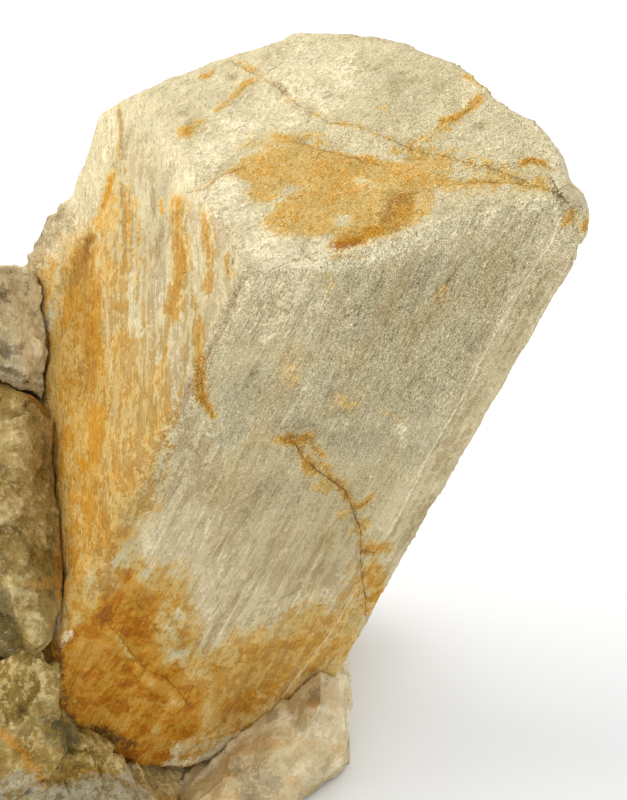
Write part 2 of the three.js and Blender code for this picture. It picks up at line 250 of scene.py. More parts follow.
FOOT_AREAS = [
    ("mosaic", 1.0, 10, [(40, 650), (96, 600), (124, 560), (196, 560), (200, 640), (240, 650), (216, 760),
        (150, 790), (60, 760), (40, 700)]),
    ("mosaic", 0.85, 14, [(196, 650), (240, 640), (290, 600), (350, 590), (340, 660), (270, 730),
        (200, 760)]),
    ("orange", 1.1, 10, [(40, 640), (78, 628), (92, 604), (106, 572), (122, 562), (142, 582), (164, 596),
        (158, 626), (164, 660), (190, 672), (206, 690), (206, 738), (196, 784), (150, 790), (100, 780),
        (50, 740)]),
    ("ochre", 0.7, 8, [(100, 500), (120, 500), (128, 536), (150, 560), (186, 560), (196, 580), (186, 616),
        (196, 646), (176, 650), (140, 640), (104, 600)]),
    ("ochre", 0.95, 6, [(200, 656), (222, 644), (240, 640), (262, 640), (282, 632), (286, 606), (312, 602),
        (326, 612), (350, 598), (360, 606), (344, 650), (322, 676), (296, 700), (272, 718), (242, 736),
        (204, 742), (194, 712), (196, 680)]),
    ("orange", 0.7, 8, [(226, 656), (246, 644), (284, 640), (316, 646), (300, 680), (264, 702), (240, 730),
        (212, 730)]),
    ("ochre", 0.7, 7, [(352, 560), (372, 548), (386, 574), (372, 606), (344, 640), (326, 640)]),
    ("ochre", 1.0, 8, [(60, 560), (100, 500), (128, 540), (112, 600), (98, 650), (62, 650)]),
    ("ochre", 0.85, 8, [(214, 650), (230, 628), (262, 624), (288, 606), (330, 598), (330, 640), (260, 660),
        (214, 670)]),
    ("ochre", 1.0, 10, [(100, 556), (160, 566), (192, 580), (204, 640), (208, 700), (212, 744), (160, 700),
        (130, 640)]),
    ("ochre", 0.95, 8, [(196, 690), (240, 700), (292, 700), (262, 732), (226, 752), (196, 764)]),
    ("ochre", 0.85, 7, [(340, 600), (378, 596), (354, 650), (346, 690), (300, 712), (310, 670)]),
    ("orange", 0.85, 12, [(206, 664), (240, 650), (290, 630), (330, 620), (318, 660), (250, 724),
        (206, 744)]),
    ("rust", 0.85, 8, [(60, 656), (84, 664), (108, 680), (104, 708), (84, 716), (62, 700)]),
    ("rust", 0.75, 7, [(164, 658), (182, 662), (198, 682), (190, 700), (172, 684)]),
    ("rust", 0.85, 7, [(80, 714), (120, 716), (150, 744), (168, 752), (166, 770), (130, 764), (96, 738)]),
    ("shade", 0.5, 12, [(206, 664), (250, 640), (306, 634), (296, 690), (240, 726), (206, 730)]),
    ("dark", 0.95, 4, [(90, 726), (108, 728), (136, 744), (134, 752), (112, 742), (94, 736)]),
]
# Where the crystal shows through the stained foot
FOOT_WINDOWS = [
    ("clear", 0.6, 3, [(176, 745), (196, 737), (238, 735), (226, 750), (208, 762), (190, 766), (176, 764)]),
    ("clear", 0.6, 4, [(168, 648), (190, 648), (186, 662), (170, 660)]),
    ("clear", 0.45, 4, [(138, 672), (150, 676), (158, 682), (146, 688)]),
    ("clear", 0.45, 3, [(110, 632), (118, 634), (142, 668), (136, 674), (118, 648)]),
    ("clear", 0.45, 4, [(166, 684), (176, 692), (186, 708), (172, 704)]),
    ("clear", 0.6, 3, [(142, 568), (152, 568), (152, 578), (142, 576)]),
    ("clear", 0.6, 4, [(112, 560), (124, 554), (128, 568), (118, 574)]),
    ("clear", 0.4, 3, [(114, 698), (126, 690), (130, 694), (118, 702)]),
    ("clear", 0.45, 4, [(146, 722), (158, 720), (162, 732), (150, 738)]),
    ("clear", 0.6, 4, [(164, 612), (182, 604), (186, 618), (172, 622)]),
    ("clear", 0.55, 5, [(104, 566), (114, 560), (120, 590), (112, 596)]),
    ("clear", 0.4, 5, [(160, 620), (180, 622), (178, 640), (164, 640)]),
    ("clear", 0.5, 4, [(84, 566), (92, 560), (96, 600), (88, 606)]),
    ("clear", 0.22, 7, [(84, 644), (106, 636), (124, 650), (132, 672), (110, 684), (92, 668)]),
    ("clear", 0.25, 6, [(138, 700), (156, 698), (162, 718), (146, 728)]),
    ("clear", 0.22, 6, [(100, 712), (124, 710), (134, 726), (114, 728)]),
    ("clear", 0.25, 5, [(72, 642), (84, 638), (90, 654), (78, 662)]),
]
CRYSTAL_AREAS = (
    PATCH_AREAS + TOP_AREAS + LOOSE_AREAS + LEFT_AREAS + FRONT_AREAS + CRACK_AREAS + FOOT_AREAS
    + FOOT_WINDOWS
)

# Stains on the crystal as brush strokes: channel, strength, half width, corners in pixels
PATCH_STROKES = [
    ("orange", 0.7, 5, [(286, 138), (300, 146), (330, 154), (370, 160), (400, 167), (440, 164)]),
    ("orange", 0.5, 3, [(194, 192), (210, 184), (224, 172), (244, 160), (266, 152)]),
    ("rust", 1.0, 8, [(334, 248), (346, 246), (360, 242)]),
    ("orange", 0.9, 12, [(346, 240), (362, 234), (384, 228)]),
    ("rust", 0.6, 3, [(328, 259), (340, 256), (360, 258)]),
    ("ochre", 0.8, 10, [(406, 178), (430, 194), (422, 212)]),
]
TOP_STROKES = [
    ("orange", 0.55, 4, [(218, 110), (232, 98), (246, 84), (256, 80)]),
    ("ochre", 0.5, 4, [(284, 96), (300, 106), (328, 120), (360, 126), (396, 140)]),
    ("orange", 0.8, 5, [(480, 98), (470, 108), (456, 118), (442, 122)]),
    ("ochre", 0.7, 6, [(460, 118), (436, 134), (410, 144), (392, 152)]),
    ("orange", 0.85, 3.5, [(520, 165), (530, 161), (542, 161), (550, 166), (554, 170)]),
    ("orange", 0.75, 3.5, [(452, 184), (476, 181), (500, 182), (530, 184), (552, 190)]),
    ("ochre", 0.8, 5, [(430, 156), (470, 162), (500, 170), (530, 182), (555, 190)]),
    ("ochre", 0.7, 4, [(240, 62), (264, 76), (284, 90)]),
    ("dark", 0.5, 4, [(276, 82), (284, 92)]),
    ("orange", 0.7, 4, [(204, 76), (214, 71)]),
    ("orange", 0.6, 4, [(466, 76), (480, 84)]),
    ("rust", 0.4, 3, [(376, 106), (386, 108)]),
]
LOOSE_STROKES = [
    ("dark", 0.8, 3.5, [(553, 190), (559, 194)]),
    # Painted shadow beside the loose block's edge
    ("shade", 0.6, 3, [(557, 194), (564, 198), (569, 207), (571, 218)]),
    ("orange", 0.8, 3, [(566, 208), (568, 222)]),
    ("orange", 0.8, 3, [(583, 214), (578, 226)]),
    ("shade", 0.7, 4, [(558, 198), (564, 206)]),
    ("pale", 1.0, 4, [(551, 164), (556, 178), (560, 192)]),
    ("pale", 0.9, 3, [(553, 200), (559, 214), (556, 232), (546, 250), (536, 264)]),
]
LEFT_EDGE_STROKES = [
    ("orange", 0.6, 3, [(121, 104), (121, 130), (117, 162)]),
    ("orange", 0.85, 5, [(112, 178), (109, 192), (103, 208)]),
    ("orange", 0.6, 4, [(100, 212), (98, 230)]),
    ("rust", 0.85, 7, [(91, 238), (86, 246), (88, 256), (80, 268)]),
    ("dark", 0.3, 4, [(89, 240), (87, 246)]),
    ("dark", 0.3, 4, [(88, 255), (86, 260)]),
    ("dark", 0.25, 3, [(79, 262), (74, 270), (72, 278)]),
    ("shade", 1.0, 6, [(92, 236), (86, 250), (80, 266), (74, 284)]),
    ("rust", 0.7, 4, [(78, 256), (72, 268), (70, 278)]),
    ("shade", 0.95, 9, RIM_LINE),
    ("dark", 0.45, 5, [(64, 216), (54, 226), (50, 234)]),
    ("dark", 0.45, 5, [(42, 244), (34, 258), (30, 272)]),
    ("warm", 0.6, 12, [(112, 130), (96, 190), (76, 240)]),
]
LEFT_STREAKS = [
    ("orange", 0.8, 7, [(181, 202), (179, 226), (181, 252), (182, 272), (170, 312)]),
    ("ochre", 0.8, 12, [(180, 206), (180, 250), (182, 282), (176, 310)]),
    ("orange", 0.6, 4, [(170, 312), (166, 350), (163, 390), (156, 416)]),
    ("ochre", 0.95, 4.5, [(205, 214), (207, 238), (210, 262), (206, 290)]),
    ("ochre", 0.6, 8, [(207, 210), (210, 250), (207, 292)]),
    ("orange", 1.0, 7, [(197, 326), (198, 350), (199, 378), (200, 396)]),
    ("rust", 0.8, 4.5, [(198, 380), (203, 400), (213, 416)]),
    ("orange", 0.6, 3.5, [(192, 296), (196, 312), (197, 328)]),
    ("orange", 0.6, 4, [(148, 334), (146, 356), (141, 396)]),
    ("orange", 0.7, 4, [(152, 396), (154, 416), (148, 432)]),
    ("rust", 0.6, 3, [(161, 200), (162, 212)]),
    ("rust", 0.5, 6, [(74, 276), (72, 310), (76, 350), (76, 390)]),
    ("rust", 0.35, 4, [(84, 270), (88, 320), (84, 380), (90, 440)]),
    ("rust", 0.4, 3, [(124, 204), (125, 260), (120, 330), (119, 400), (116, 470)]),
    ("ochre", 0.9, 5, [(130, 196), (126, 230), (126, 290), (122, 340), (126, 400)]),
    ("rust", 0.45, 6, [(60, 500), (66, 560), (72, 610)]),
    ("ochre", 0.8, 3, [(136, 196), (139, 240), (136, 300)]),
    ("ochre", 0.8, 3, [(145, 300), (147, 360), (140, 424)]),
    ("ochre", 0.75, 3, [(165, 326), (160, 380), (152, 436)]),
    ("ochre", 0.7, 3, [(187, 330), (184, 372), (174, 424)]),
    ("ochre", 0.8, 6, [(134, 256), (144, 262)]),
    ("ochre", 0.6, 4, [(138, 222), (139, 234)]),
]
LEFT_LINES = [
    ("shade", 0.8, 3, [(121, 112), (122, 180), (124, 240), (122, 300)]),
    ("shade", 0.6, 3, [(153, 190), (156, 250), (150, 320)]),
    ("shade", 0.7, 2.5, [(131, 188), (130, 262), (127, 340), (126, 424)]),
    ("shade", 0.7, 2.5, [(171, 292), (168, 330), (160, 360)]),
    ("shade", 0.6, 2.5, [(176, 214), (172, 262), (168, 300)]),
    ("shade", 0.6, 2.5, [(214, 296), (207, 330), (202, 352)]),
    ("shade", 0.6, 2.5, [(148, 330), (150, 372), (146, 400)]),
    ("cool", 0.7, 6, [(100, 496), (96, 530)]),
    ("pale", 0.3, 3, [(108, 292), (107, 330), (111, 372)]),
    ("pale", 0.6, 5, [(196, 226), (198, 268), (194, 290)]),
    ("pale", 0.5, 4, [(52, 308), (50, 328)]),
    ("pale", 0.6, 4, [(150, 336), (142, 372)]),
    ("warm", 0.8, 10, [(152, 240), (150, 290), (156, 330)]),
    ("warm", 0.7, 8, [(190, 230), (190, 290), (184, 340)]),
    ("cool", 0.6, 7, [(164, 180), (160, 300)]),
    ("cool", 0.5, 6, [(112, 400), (110, 460)]),
]
FRONT_EDGE_STROKES = [
    ("pale", 0.9, 11, [(262, 262), (300, 262), (340, 260), (420, 240), (448, 228)]),
    ("pale", 0.6, 10, [(448, 228), (500, 214), (546, 200)]),
    ("ochre", 0.6, 6, [(226, 256), (230, 274)]),
    ("dark", 0.3, 4, [(232, 256), (228, 278)]),
]
FRONT_STROKES = [
    ("ochre", 0.55, 5, [(326, 274), (332, 292)]),
    ("ochre", 0.35, 10, [(284, 362), (292, 380)]),
    ("ochre", 0.35, 8, [(338, 398), (356, 410)]),
    ("ochre", 0.4, 3, [(380, 410), (402, 420)]),
    ("shade", 0.4, 3, [(244, 280), (218, 332), (206, 358), (200, 372)]),
    ("shade", 0.7, 5, [(176, 428), (162, 456), (150, 486), (134, 520), (116, 552)]),
    ("shade", 0.6, 5, [(262, 486), (244, 516), (226, 552)]),
    ("shade", 0.75, 5, [(256, 568), (240, 594), (222, 624), (206, 650)]),
    ("shade", 0.45, 5, [(300, 500), (280, 536), (256, 568)]),
    ("shade", 0.5, 4, [(324, 600), (304, 636), (286, 668), (276, 704)]),
    ("pale", 0.8, 4, [(402, 428), (404, 444)]),
]
FRONT_BLOTCHES = [
    ("cool", 1.0, 8, [(362, 444), (356, 456)]),
    ("cool", 1.0, 13, [(432, 264), (422, 284), (410, 310)]),
    ("cool", 0.9, 12, [(480, 336), (466, 352)]),
    ("cool", 1.0, 9, [(298, 420), (312, 426)]),
    ("cool", 1.0, 10, [(234, 394), (246, 384), (256, 372)]),
    ("cool", 0.9, 14, [(366, 318), (352, 338)]),
    ("cool", 0.8, 10, [(380, 286), (372, 304)]),
    ("cool", 0.9, 12, [(342, 376), (326, 394)]),
    ("cool", 0.9, 16, [(374, 436), (340, 442)]),
    ("cool", 0.8, 11, [(430, 406), (412, 412)]),
    ("cool", 0.7, 12, [(456, 382), (438, 390)]),
    ("cool", 0.8, 10, [(242, 426), (222, 440)]),
    ("cool", 0.8, 9, [(356, 268), (352, 284)]),
    ("cool", 0.8, 14, [(432, 434), (410, 456)]),
    ("warm", 1.0, 14, [(420, 310), (410, 330)]),
    ("warm", 0.9, 14, [(366, 344), (348, 364)]),
    ("warm", 1.0, 16, [(292, 356), (282, 380)]),
    ("warm", 0.9, 13, [(356, 396), (334, 406)]),
    ("warm", 0.8, 14, [(400, 296), (388, 312)]),
    ("warm", 0.8, 14, [(270, 400), (256, 440)]),
    ("warm", 0.8, 12, [(450, 292), (440, 318)]),
    ("warm", 0.7, 16, [(500, 260), (480, 300)]),
    ("warm", 0.8, 14, [(236, 470), (220, 500)]),
    ("warm", 0.7, 14, [(330, 540), (310, 580)]),
]
CRACK_STROKES = [
    ("ochre", 0.5, 7, [(282, 438), (298, 446), (314, 468), (334, 484), (350, 500), (360, 526), (364, 552)]),
    ("orange", 0.9, 5, [(278, 440), (296, 440), (310, 437)]),
    ("rust", 0.8, 4, [(292, 444), (306, 436)]),
    ("shade", 1.0, 5, [(288, 438), (304, 436), (312, 442)]),
    ("orange", 0.65, 2.5, [(298, 450), (312, 468), (330, 480), (347, 490), (354, 506)]),
    ("orange", 0.55, 2.5, [(354, 508), (362, 530), (363, 550)]),
    ("orange", 0.7, 3.5, [(318, 484), (328, 484)]),
    ("orange", 0.8, 4.5, [(354, 508), (364, 504), (371, 496)]),
    ("orange", 0.7, 3.5, [(352, 512), (340, 518)]),
    ("rust", 0.6, 3, [(344, 488), (352, 502)]),
    ("orange", 0.6, 3, [(330, 480), (325, 493)]),
    ("orange", 0.6, 3, [(338, 487), (349, 481)]),
    ("ochre", 0.7, 6, [(300, 446), (312, 444), (324, 456)]),
    ("orange", 0.6, 3, [(358, 528), (347, 534)]),
    ("orange", 0.5, 3, [(312, 468), (322, 464)]),
    ("orange", 0.8, 7, [(368, 550), (388, 546)]),
    ("orange", 0.75, 7, [(374, 562), (380, 580), (376, 600)]),
]
FOOT_STROKES = [
    ("rust", 0.7, 7, [(112, 616), (124, 626), (136, 628)]),
    ("rust", 0.7, 9, [(80, 676), (92, 690), (104, 700)]),
    ("rust", 0.6, 7, [(150, 670), (176, 672), (200, 690)]),
    ("rust", 0.65, 6, [(172, 700), (190, 724), (184, 744)]),
    ("rust", 0.75, 6, [(146, 752), (172, 758)]),
    ("rust", 0.7, 6, [(240, 646), (241, 668), (230, 692), (222, 722)]),
    ("rust", 0.6, 4, [(284, 676), (279, 702)]),
    ("rust", 0.45, 8, [(250, 648), (270, 642), (292, 656)]),
    ("pale", 0.75, 5, [(62, 642), (68, 636)]),
    ("pale", 0.95, 4, [(177, 746), (174, 760)]),
    ("orange", 0.8, 8, [(150, 760), (196, 756)]),
    ("pale", 1.0, 2.5, [(164, 764), (184, 764), (203, 760), (238, 735)]),
    # Painted shade along the foot's contact with the rock
    ("dark", 0.5, 3, [(58, 640), (62, 690), (72, 716)]),
]
CRYSTAL_STROKES = (
    PATCH_STROKES + TOP_STROKES + LOOSE_STROKES + LEFT_EDGE_STROKES + LEFT_STREAKS + LEFT_LINES
    + FRONT_EDGE_STROKES + FRONT_STROKES + FRONT_BLOTCHES + CRACK_STROKES + FOOT_STROKES
)

# Fine lines on the crystal, corners in pixels, with a tone: below 0 dark, down to -1, for cracks and for
# painted shade along grooves; above 0, up to 1, a painted highlight along a ridge or edge
TOP_CRACKS = [
    (-0.5, [(232, 62), (248, 70), (262, 76), (276, 86), (290, 99), (304, 108), (318, 116), (330, 122),
        (356, 124), (374, 133), (396, 141), (416, 150), (440, 154), (470, 163), (496, 165), (520, 163),
        (540, 163), (553, 169)]),
    (-0.35, [(486, 97), (472, 106), (456, 120), (444, 128)]),
    (-0.55, [(470, 163), (490, 168), (512, 176), (534, 183), (556, 192)]),
    (-0.5, [(470, 182), (490, 181), (520, 184), (556, 192)]),
    (-0.35, [(230, 110), (246, 92), (262, 76), (274, 68)]),
    (-0.5, [(296, 140), (316, 148), (350, 156), (376, 164)]),
    (-0.6, [(190, 192), (206, 188), (222, 174), (240, 168)]),
]
EDGE_CRACKS = [
    (-0.8, [(303, 251), (306, 256), (312, 260)]),
    (-0.5, [(272, 270), (284, 264), (304, 258)]),
]
# Around the loose block: dark cracks, and a painted highlight along its ridge
LOOSE_CRACKS = [
    (-0.6, [(557, 193), (566, 202), (571, 214), (572, 224)]),
    (-0.9, [(552, 178), (556, 184), (556, 192)]),
    (0.9, [(552, 202), (559, 218), (555, 232), (548, 246), (532, 268)]),
    (-0.7, [(558, 192), (562, 187), (568, 185), (575, 194), (582, 210)]),
]
FRONT_CRACKS = [
    (-0.9, [(296, 446), (304, 458), (316, 470), (330, 480), (344, 489), (351, 502), (354, 514), (361, 530),
        (361, 548)]),
    (-1.0, [(361, 548), (361, 564), (363, 584), (366, 600), (366, 614)]),
    (-0.7, [(354, 511), (362, 506), (368, 500)]),
    (-0.8, [(361, 547), (366, 550), (372, 552)]),
    (-0.55, [(262, 602), (276, 600), (290, 594), (300, 589)]),
]
FOOT_CRACKS = [
    (-0.75, [(106, 620), (122, 640), (136, 660), (148, 671), (164, 677), (178, 690), (188, 704)]),
    (-0.6, [(138, 604), (148, 620), (158, 632)]),
]
# Along the front face's left edge, and the narrow strip at its right: painted shade along grooves and painted
# highlights along its edges
STRIP_LINES = [
    (-0.35, [(243, 283), (232, 304), (221, 326), (212, 346), (205, 364)]),
    (0.9, [(536, 262), (522, 288), (500, 322), (486, 352), (468, 388), (452, 414), (436, 442), (420, 472),
        (402, 506), (386, 534)]),
    (-0.4, [(462, 402), (436, 448), (412, 494), (390, 534), (362, 582)]),
    (0.35, [(358, 588), (336, 622), (312, 656), (290, 686), (274, 712)]),
    (0.5, [(570, 256), (552, 292), (530, 334), (504, 384)]),
]
# Painted highlights along ridges and painted shade along grooves low on the front face
LOW_LINES = [
    (0.5, [(320, 556), (292, 604)]),
    (0.45, [(246, 586), (232, 612), (214, 646)]),
    (-0.4, [(250, 572), (214, 632), (204, 652)]),
    (-0.35, [(262, 486), (246, 512), (232, 540)]),
]
# Painted shade along short grooves high on the front face
UPPER_GROOVES = [
    (-0.6, [(456, 272), (449, 283)]),
    (-0.7, [(444, 290), (437, 302)]),
    (-0.5, [(412, 353), (406, 362)]),
    (-0.6, [(383, 274), (377, 290)]),
    (-0.5, [(362, 306), (350, 314)]),
    (-0.5, [(340, 412), (333, 417)]),
    (-0.5, [(255, 373), (246, 379)]),
    (-0.4, [(420, 376), (402, 394)]),
    (-0.4, [(334, 380), (328, 394)]),
    (-0.45, [(474, 254), (468, 260)]),
]
CRYSTAL_LINES = (
    TOP_CRACKS + EDGE_CRACKS + LOOSE_CRACKS + FRONT_CRACKS + FOOT_CRACKS + STRIP_LINES + LOW_LINES
    + UPPER_GROOVES
)

# Marks on the matrix, as areas and strokes
BLOCK_AREAS = [
    ("light", 0.6, 8, [(14, 312), (44, 308), (46, 340), (30, 356), (12, 344)]),
    # Painted shade in a recess
    ("dark", 0.6, 5, [(-5, 288), (14, 292), (12, 300), (-5, 304)]),
    ("dark", 0.5, 6, [(-5, 340), (20, 342), (18, 352), (-5, 356)]),
]
BLOCK_STROKES = [
    ("dark", 0.6, 3, [(-5, 360), (12, 366), (25, 374), (42, 388)]),
    # Painted light on the block's right end, against the crystal
    ("light", 0.8, 6, [(28, 272), (38, 290), (42, 320), (40, 350)]),
    ("light", 0.9, 8, [(2, 266), (14, 274), (28, 282)]),
    ("light", 0.6, 4, [(28, 366), (36, 376)]),
]
TONGUE_AREAS = [
    ("light", 0.5, 6, [(10, 572), (24, 566), (34, 590), (50, 596), (48, 622), (30, 630), (16, 610)]),
    ("light", 0.6, 10, [(0, 470), (22, 466), (44, 500), (44, 536), (6, 536)]),
    ("dark", 0.2, 8, [(18, 390), (44, 388), (52, 430), (40, 480), (26, 470), (30, 430)]),
    ("dark", 1.0, 4, [(-5, 576), (8, 592), (14, 620), (26, 646), (30, 668), (-5, 672)]),
]
TONGUE_STROKES = [
    # Painted shade along the tongue's right edge, beside the crystal
    ("dark", 0.3, 6, [(36, 410), (44, 440), (50, 490), (54, 590), (56, 630)]),
    ("dark", 0.3, 4, [(0, 384), (14, 386)]),
    ("warm", 1.0, 8, [(6, 376), (20, 382), (32, 392), (44, 404)]),
    ("warm", 0.95, 5, [(48, 404), (55, 440), (61, 490), (63, 560), (63, 620)]),
    ("warm", 0.5, 5, [(26, 582), (44, 584), (56, 580)]),
    ("warm", 0.4, 4, [(50, 600), (54, 640)]),
    ("dark", 0.6, 4, [(0, 552), (4, 566), (0, 580)]),
]
DARK_AREAS = [
    ("dark", 0.8, 6, [(0, 604), (14, 616), (24, 640), (20, 664), (4, 656), (-5, 630)]),
    ("dark", 0.85, 7, [(52, 716), (68, 716), (78, 738), (70, 756), (58, 744)]),
    ("dark", 0.25, 8, [(40, 698), (60, 700), (66, 730), (50, 744), (36, 724)]),
    ("light", 0.4, 8, [(-5, 640), (16, 650), (24, 690), (20, 724), (-5, 722)]),
    ("light", 0.55, 8, [(14, 668), (40, 660), (54, 680), (50, 704), (24, 704)]),
    ("light", 0.4, 8, [(10, 720), (36, 716), (44, 744), (30, 756)]),
    ("cold", 0.7, 4, [(-5, 778), (34, 772), (44, 788), (20, 800), (-5, 806)]),
    ("cold", 0.9, 6, [(44, 788), (110, 778), (150, 786), (150, 812), (20, 812)]),
    ("light", 0.9, 3, [(112, 764), (124, 760), (126, 768), (114, 772)]),
    ("cold", 0.9, 3, [(122, 768), (138, 764), (138, 782), (122, 784)]),
    ("light", 1.0, 4, [(140, 762), (204, 762), (204, 812), (152, 812), (146, 786)]),
    ("light", 0.4, 8, [(84, 742), (112, 748), (116, 764), (90, 768)]),
]
DARK_STROKES = [
    ("warm", 1.0, 4, [(-5, 724), (4, 732), (14, 742), (24, 754), (34, 772), (44, 784)]),
    ("warm", 0.2, 8, [(-5, 724), (14, 742), (34, 772), (60, 782), (100, 776)]),
    ("dark", 0.9, 4, [(34, 654), (54, 654), (62, 680), (66, 706), (84, 730)]),
    ("dark", 0.8, 4, [(120, 748), (130, 756), (134, 764)]),
    ("dark", 0.9, 4, [(0, 590), (12, 618), (24, 640), (36, 654)]),
    ("light", 0.9, 2, [(-5, 796), (14, 784), (30, 776)]),
    ("warm", 0.8, 4, [(136, 784), (148, 790)]),
    ("warm", 0.5, 7, [(160, 790), (184, 792), (200, 784)]),
]
PALE_AREAS = [
    ("dark", 0.7, 3, [(306, 690), (320, 684), (322, 702), (308, 706)]),
    ("dark", 0.8, 3, [(262, 712), (278, 708), (276, 724), (266, 726)]),
    ("dark", 0.7, 3, [(254, 776), (278, 774), (280, 786), (268, 790)]),
    ("dark", 0.45, 9, [(232, 764), (276, 760), (280, 800), (236, 806)]),
    ("dark", 0.9, 4, [(236, 782), (264, 796), (264, 806), (236, 806)]),
    ("warm", 0.6, 4, [(324, 690), (336, 676), (342, 700), (334, 708)]),
    ("warm", 0.7, 5, [(184, 752), (206, 742), (212, 748), (196, 768), (176, 770)]),
    ("warm", 0.4, 5, [(332, 744), (346, 742), (346, 756), (334, 756)]),
    ("warm", 0.5, 5, [(286, 776), (304, 776), (302, 786), (288, 786)]),
    ("warm", 0.45, 9, [(156, 784), (196, 784), (230, 770), (236, 806), (150, 806)]),
    ("light", 0.5, 9, [(280, 720), (320, 708), (346, 722), (330, 742), (290, 744)]),
    ("light", 0.7, 8, [(282, 770), (320, 760), (340, 764), (330, 782), (300, 786)]),
]
PALE_STROKES = [
    ("light", 1.0, 5, [(164, 777), (182, 778), (204, 770), (216, 757), (238, 736)]),
    ("warm", 0.5, 6, [(170, 770), (196, 764), (212, 750)]),
    ("dark", 0.6, 3, [(346, 656), (334, 668), (326, 684)]),
    ("warm", 0.7, 5, [(224, 760), (240, 750), (256, 745)]),
    ("warm", 0.5, 5, [(300, 706), (320, 700)]),
    ("light", 0.9, 3, [(296, 776), (304, 774)]),
    ("light", 0.9, 3, [(340, 728), (346, 722)]),
    ("light", 1.0, 4, [(240, 736), (262, 730), (286, 716), (312, 706), (330, 712)]),
    ("warm", 0.5, 5, [(236, 756), (262, 748), (292, 742), (316, 744)]),
    ("light", 0.7, 4, [(350, 712), (354, 740)]),
]

# Ends of the matrix that are pushed: middle and reach in pixels, and the push in millimetres
BLOCK_FOOT = [((16, 366), 34, (0, -0.4, -0.9))]
TONGUE_ENDS = [((46, 640), 30, (0.3, -1.1, -1.8)), ((22, 392), 30, (0, -0.2, 0.7))]
DARK_ENDS = [((168, 788), 26, (1.5, -3.0, 0.4)), ((28, 668), 32, (0, 0, 2.2))]
PALE_END = [((194, 784), 24, (-1.3, -2.6, 0.4))]


def linear(colour):
    """An sRGB colour from 0 to 255 as the linear one that a shader reads."""
    parts = (c / 255 for c in colour)
    return [p / 12.92 if p <= 0.04045 else ((p + 0.055) / 1.055) ** 2.4 for p in parts] + [1.0]


def unit(vector):
    return vector / np.linalg.norm(vector)


LENGTH = unit(LENGTH_AXIS)
INTO = -unit(FRONT_NORMAL - FRONT_NORMAL @ LENGTH * LENGTH)
ACROSS = np.cross(INTO, LENGTH)
LEFT_NORMAL = -ACROSS
TOP_NORMAL = unit(LENGTH - TOP_SLOPE[0] * ACROSS - TOP_SLOPE[1] * INTO)
# The stains run straight down the left face in the photograph and a little uphill on the top.
LEFT_GRAIN = unit(0.757 * INTO + 0.654 * LENGTH)
TOP_GRAIN = unit(0.9 * ACROSS + 0.43 * INTO)


# Noise
def lattice(cell, seed):
    """A repeatable random number from 0 to 1 for each whole-number cell."""
    cell = cell.astype(np.int64)
    mixed = cell[:, 0] * 374761393 + cell[:, 1] * 668265263 + cell[:, 2] * 1274126177 + seed * 974634777
    mixed = (mixed ^ (mixed >> 13)) * 1103515245
    mixed = (mixed ^ (mixed >> 17)) * 668265263
    return ((mixed >> 11) & 0xFFFF) / 0xFFFF


def noise(points, size, seed):
    """Smooth noise from -1 to 1 with features of that size."""
    place = points / size
    cell = np.floor(place)
    part = place - cell
    part = part * part * (3 - 2 * part)
    total = np.zeros(len(points))
    for corner in itertools.product((0, 1), repeat=3):
        weight = np.prod(np.where(corner, part, 1 - part), axis=1)
        total += weight * lattice(cell + corner, seed)
    return 2 * total - 1


def layered(points, size, seed, octaves=4):
    """Noise of several sizes together, each half as large and half as strong as the one before."""
    total = np.zeros(len(points))
    for octave in range(octaves):
        total += noise(points, size / 2**octave, seed + octave) / 2**octave
    return total / 1.5


def bends(points, size, seed):
    """Noise as steps across and down the picture, for bending outlines."""
    return np.stack([layered(points, size, seed), layered(points, size, seed + 10)], 1)


def chips(points, size, seed):
    """Broken facets: each cell has its own tilted plane, with a step at its edges. From about -1 to 1."""
    place = points / size
    cell = np.floor(place)
    nearest = np.full(len(points), np.inf)
    height = np.zeros(len(points))
    for step in itertools.product((-1, 0, 1), repeat=3):
        at = cell + step
        centre = at + np.stack([lattice(at, seed + axis) for axis in range(3)], 1)
        tilt = np.stack([lattice(at, seed + 3 + axis) for axis in range(3)], 1) - 0.5
        away = place - centre
        gap = (away**2).sum(1)
        closer = gap < nearest
        nearest = np.where(closer, gap, nearest)
        height = np.where(closer, 2 * (away * tilt).sum(1) + lattice(at, seed + 6) - 0.5, height)
    return height


def smooth(low, high, value):
    """From 0 at low to 1 at high, with soft ends."""
    part = np.clip((value - low) / (high - low), 0, 1)
    return part * part * (3 - 2 * part)


# Picture
def seen(points, normals):
    """The pixel of each point, and how squarely it faces the camera, from -1 to 1."""
    away = points - AIM
    depth = DISTANCE - away @ VIEW_BACK
    across = PICTURE_WIDTH / 2 + FOCAL_PIXELS * (away @ VIEW_RIGHT) / depth
    down = PICTURE_HEIGHT / 2 - FOCAL_PIXELS * (away @ VIEW_UP) / depth
    towards = CAMERA_PLACE - points
    facing = (normals * towards).sum(1) / np.linalg.norm(towards, axis=1)
    return np.stack([across, down], 1), facing


def to_segment(points, start, end):
    """Distance from each point to a segment, and the signed distance to the line through it."""
    start = np.array(start, float)
    run = np.array(end, float) - start
    away = points - start
    along = np.clip(away @ run / (run @ run), 0, 1)
    gap = np.linalg.norm(away - along[:, None] * run, axis=1)
    side = (run[0] * away[:, 1] - run[1] * away[:, 0]) / np.linalg.norm(run)
    return gap, side


def to_line(points, corners):
    """Distance from each point to an open line, and the signed distance to its nearest stretch."""
    nearest = np.full(len(points), np.inf)
    signed = np.zeros(len(points))
    for start, end in itertools.pairwise(corners):
        gap, side = to_segment(points, start, end)
        closer = gap < nearest
        nearest = np.where(closer, gap, nearest)
        signed = np.where(closer, side, signed)
    return nearest, signed


def nearest_line(pixels, lines):
    """Distance to the nearest of several lines, signed distance to its stretch, and its tone."""
    gap = np.full(len(pixels), np.inf)
    side = np.zeros(len(pixels))
    tone = np.zeros(len(pixels))
    for strength, corners in lines:
        line_gap, line_side = to_line(pixels, corners)
        closer = line_gap < gap
        gap = np.where(closer, line_gap, gap)
        side = np.where(closer, line_side, side)
        tone = np.where(closer, strength, tone)
    return gap, side, tone


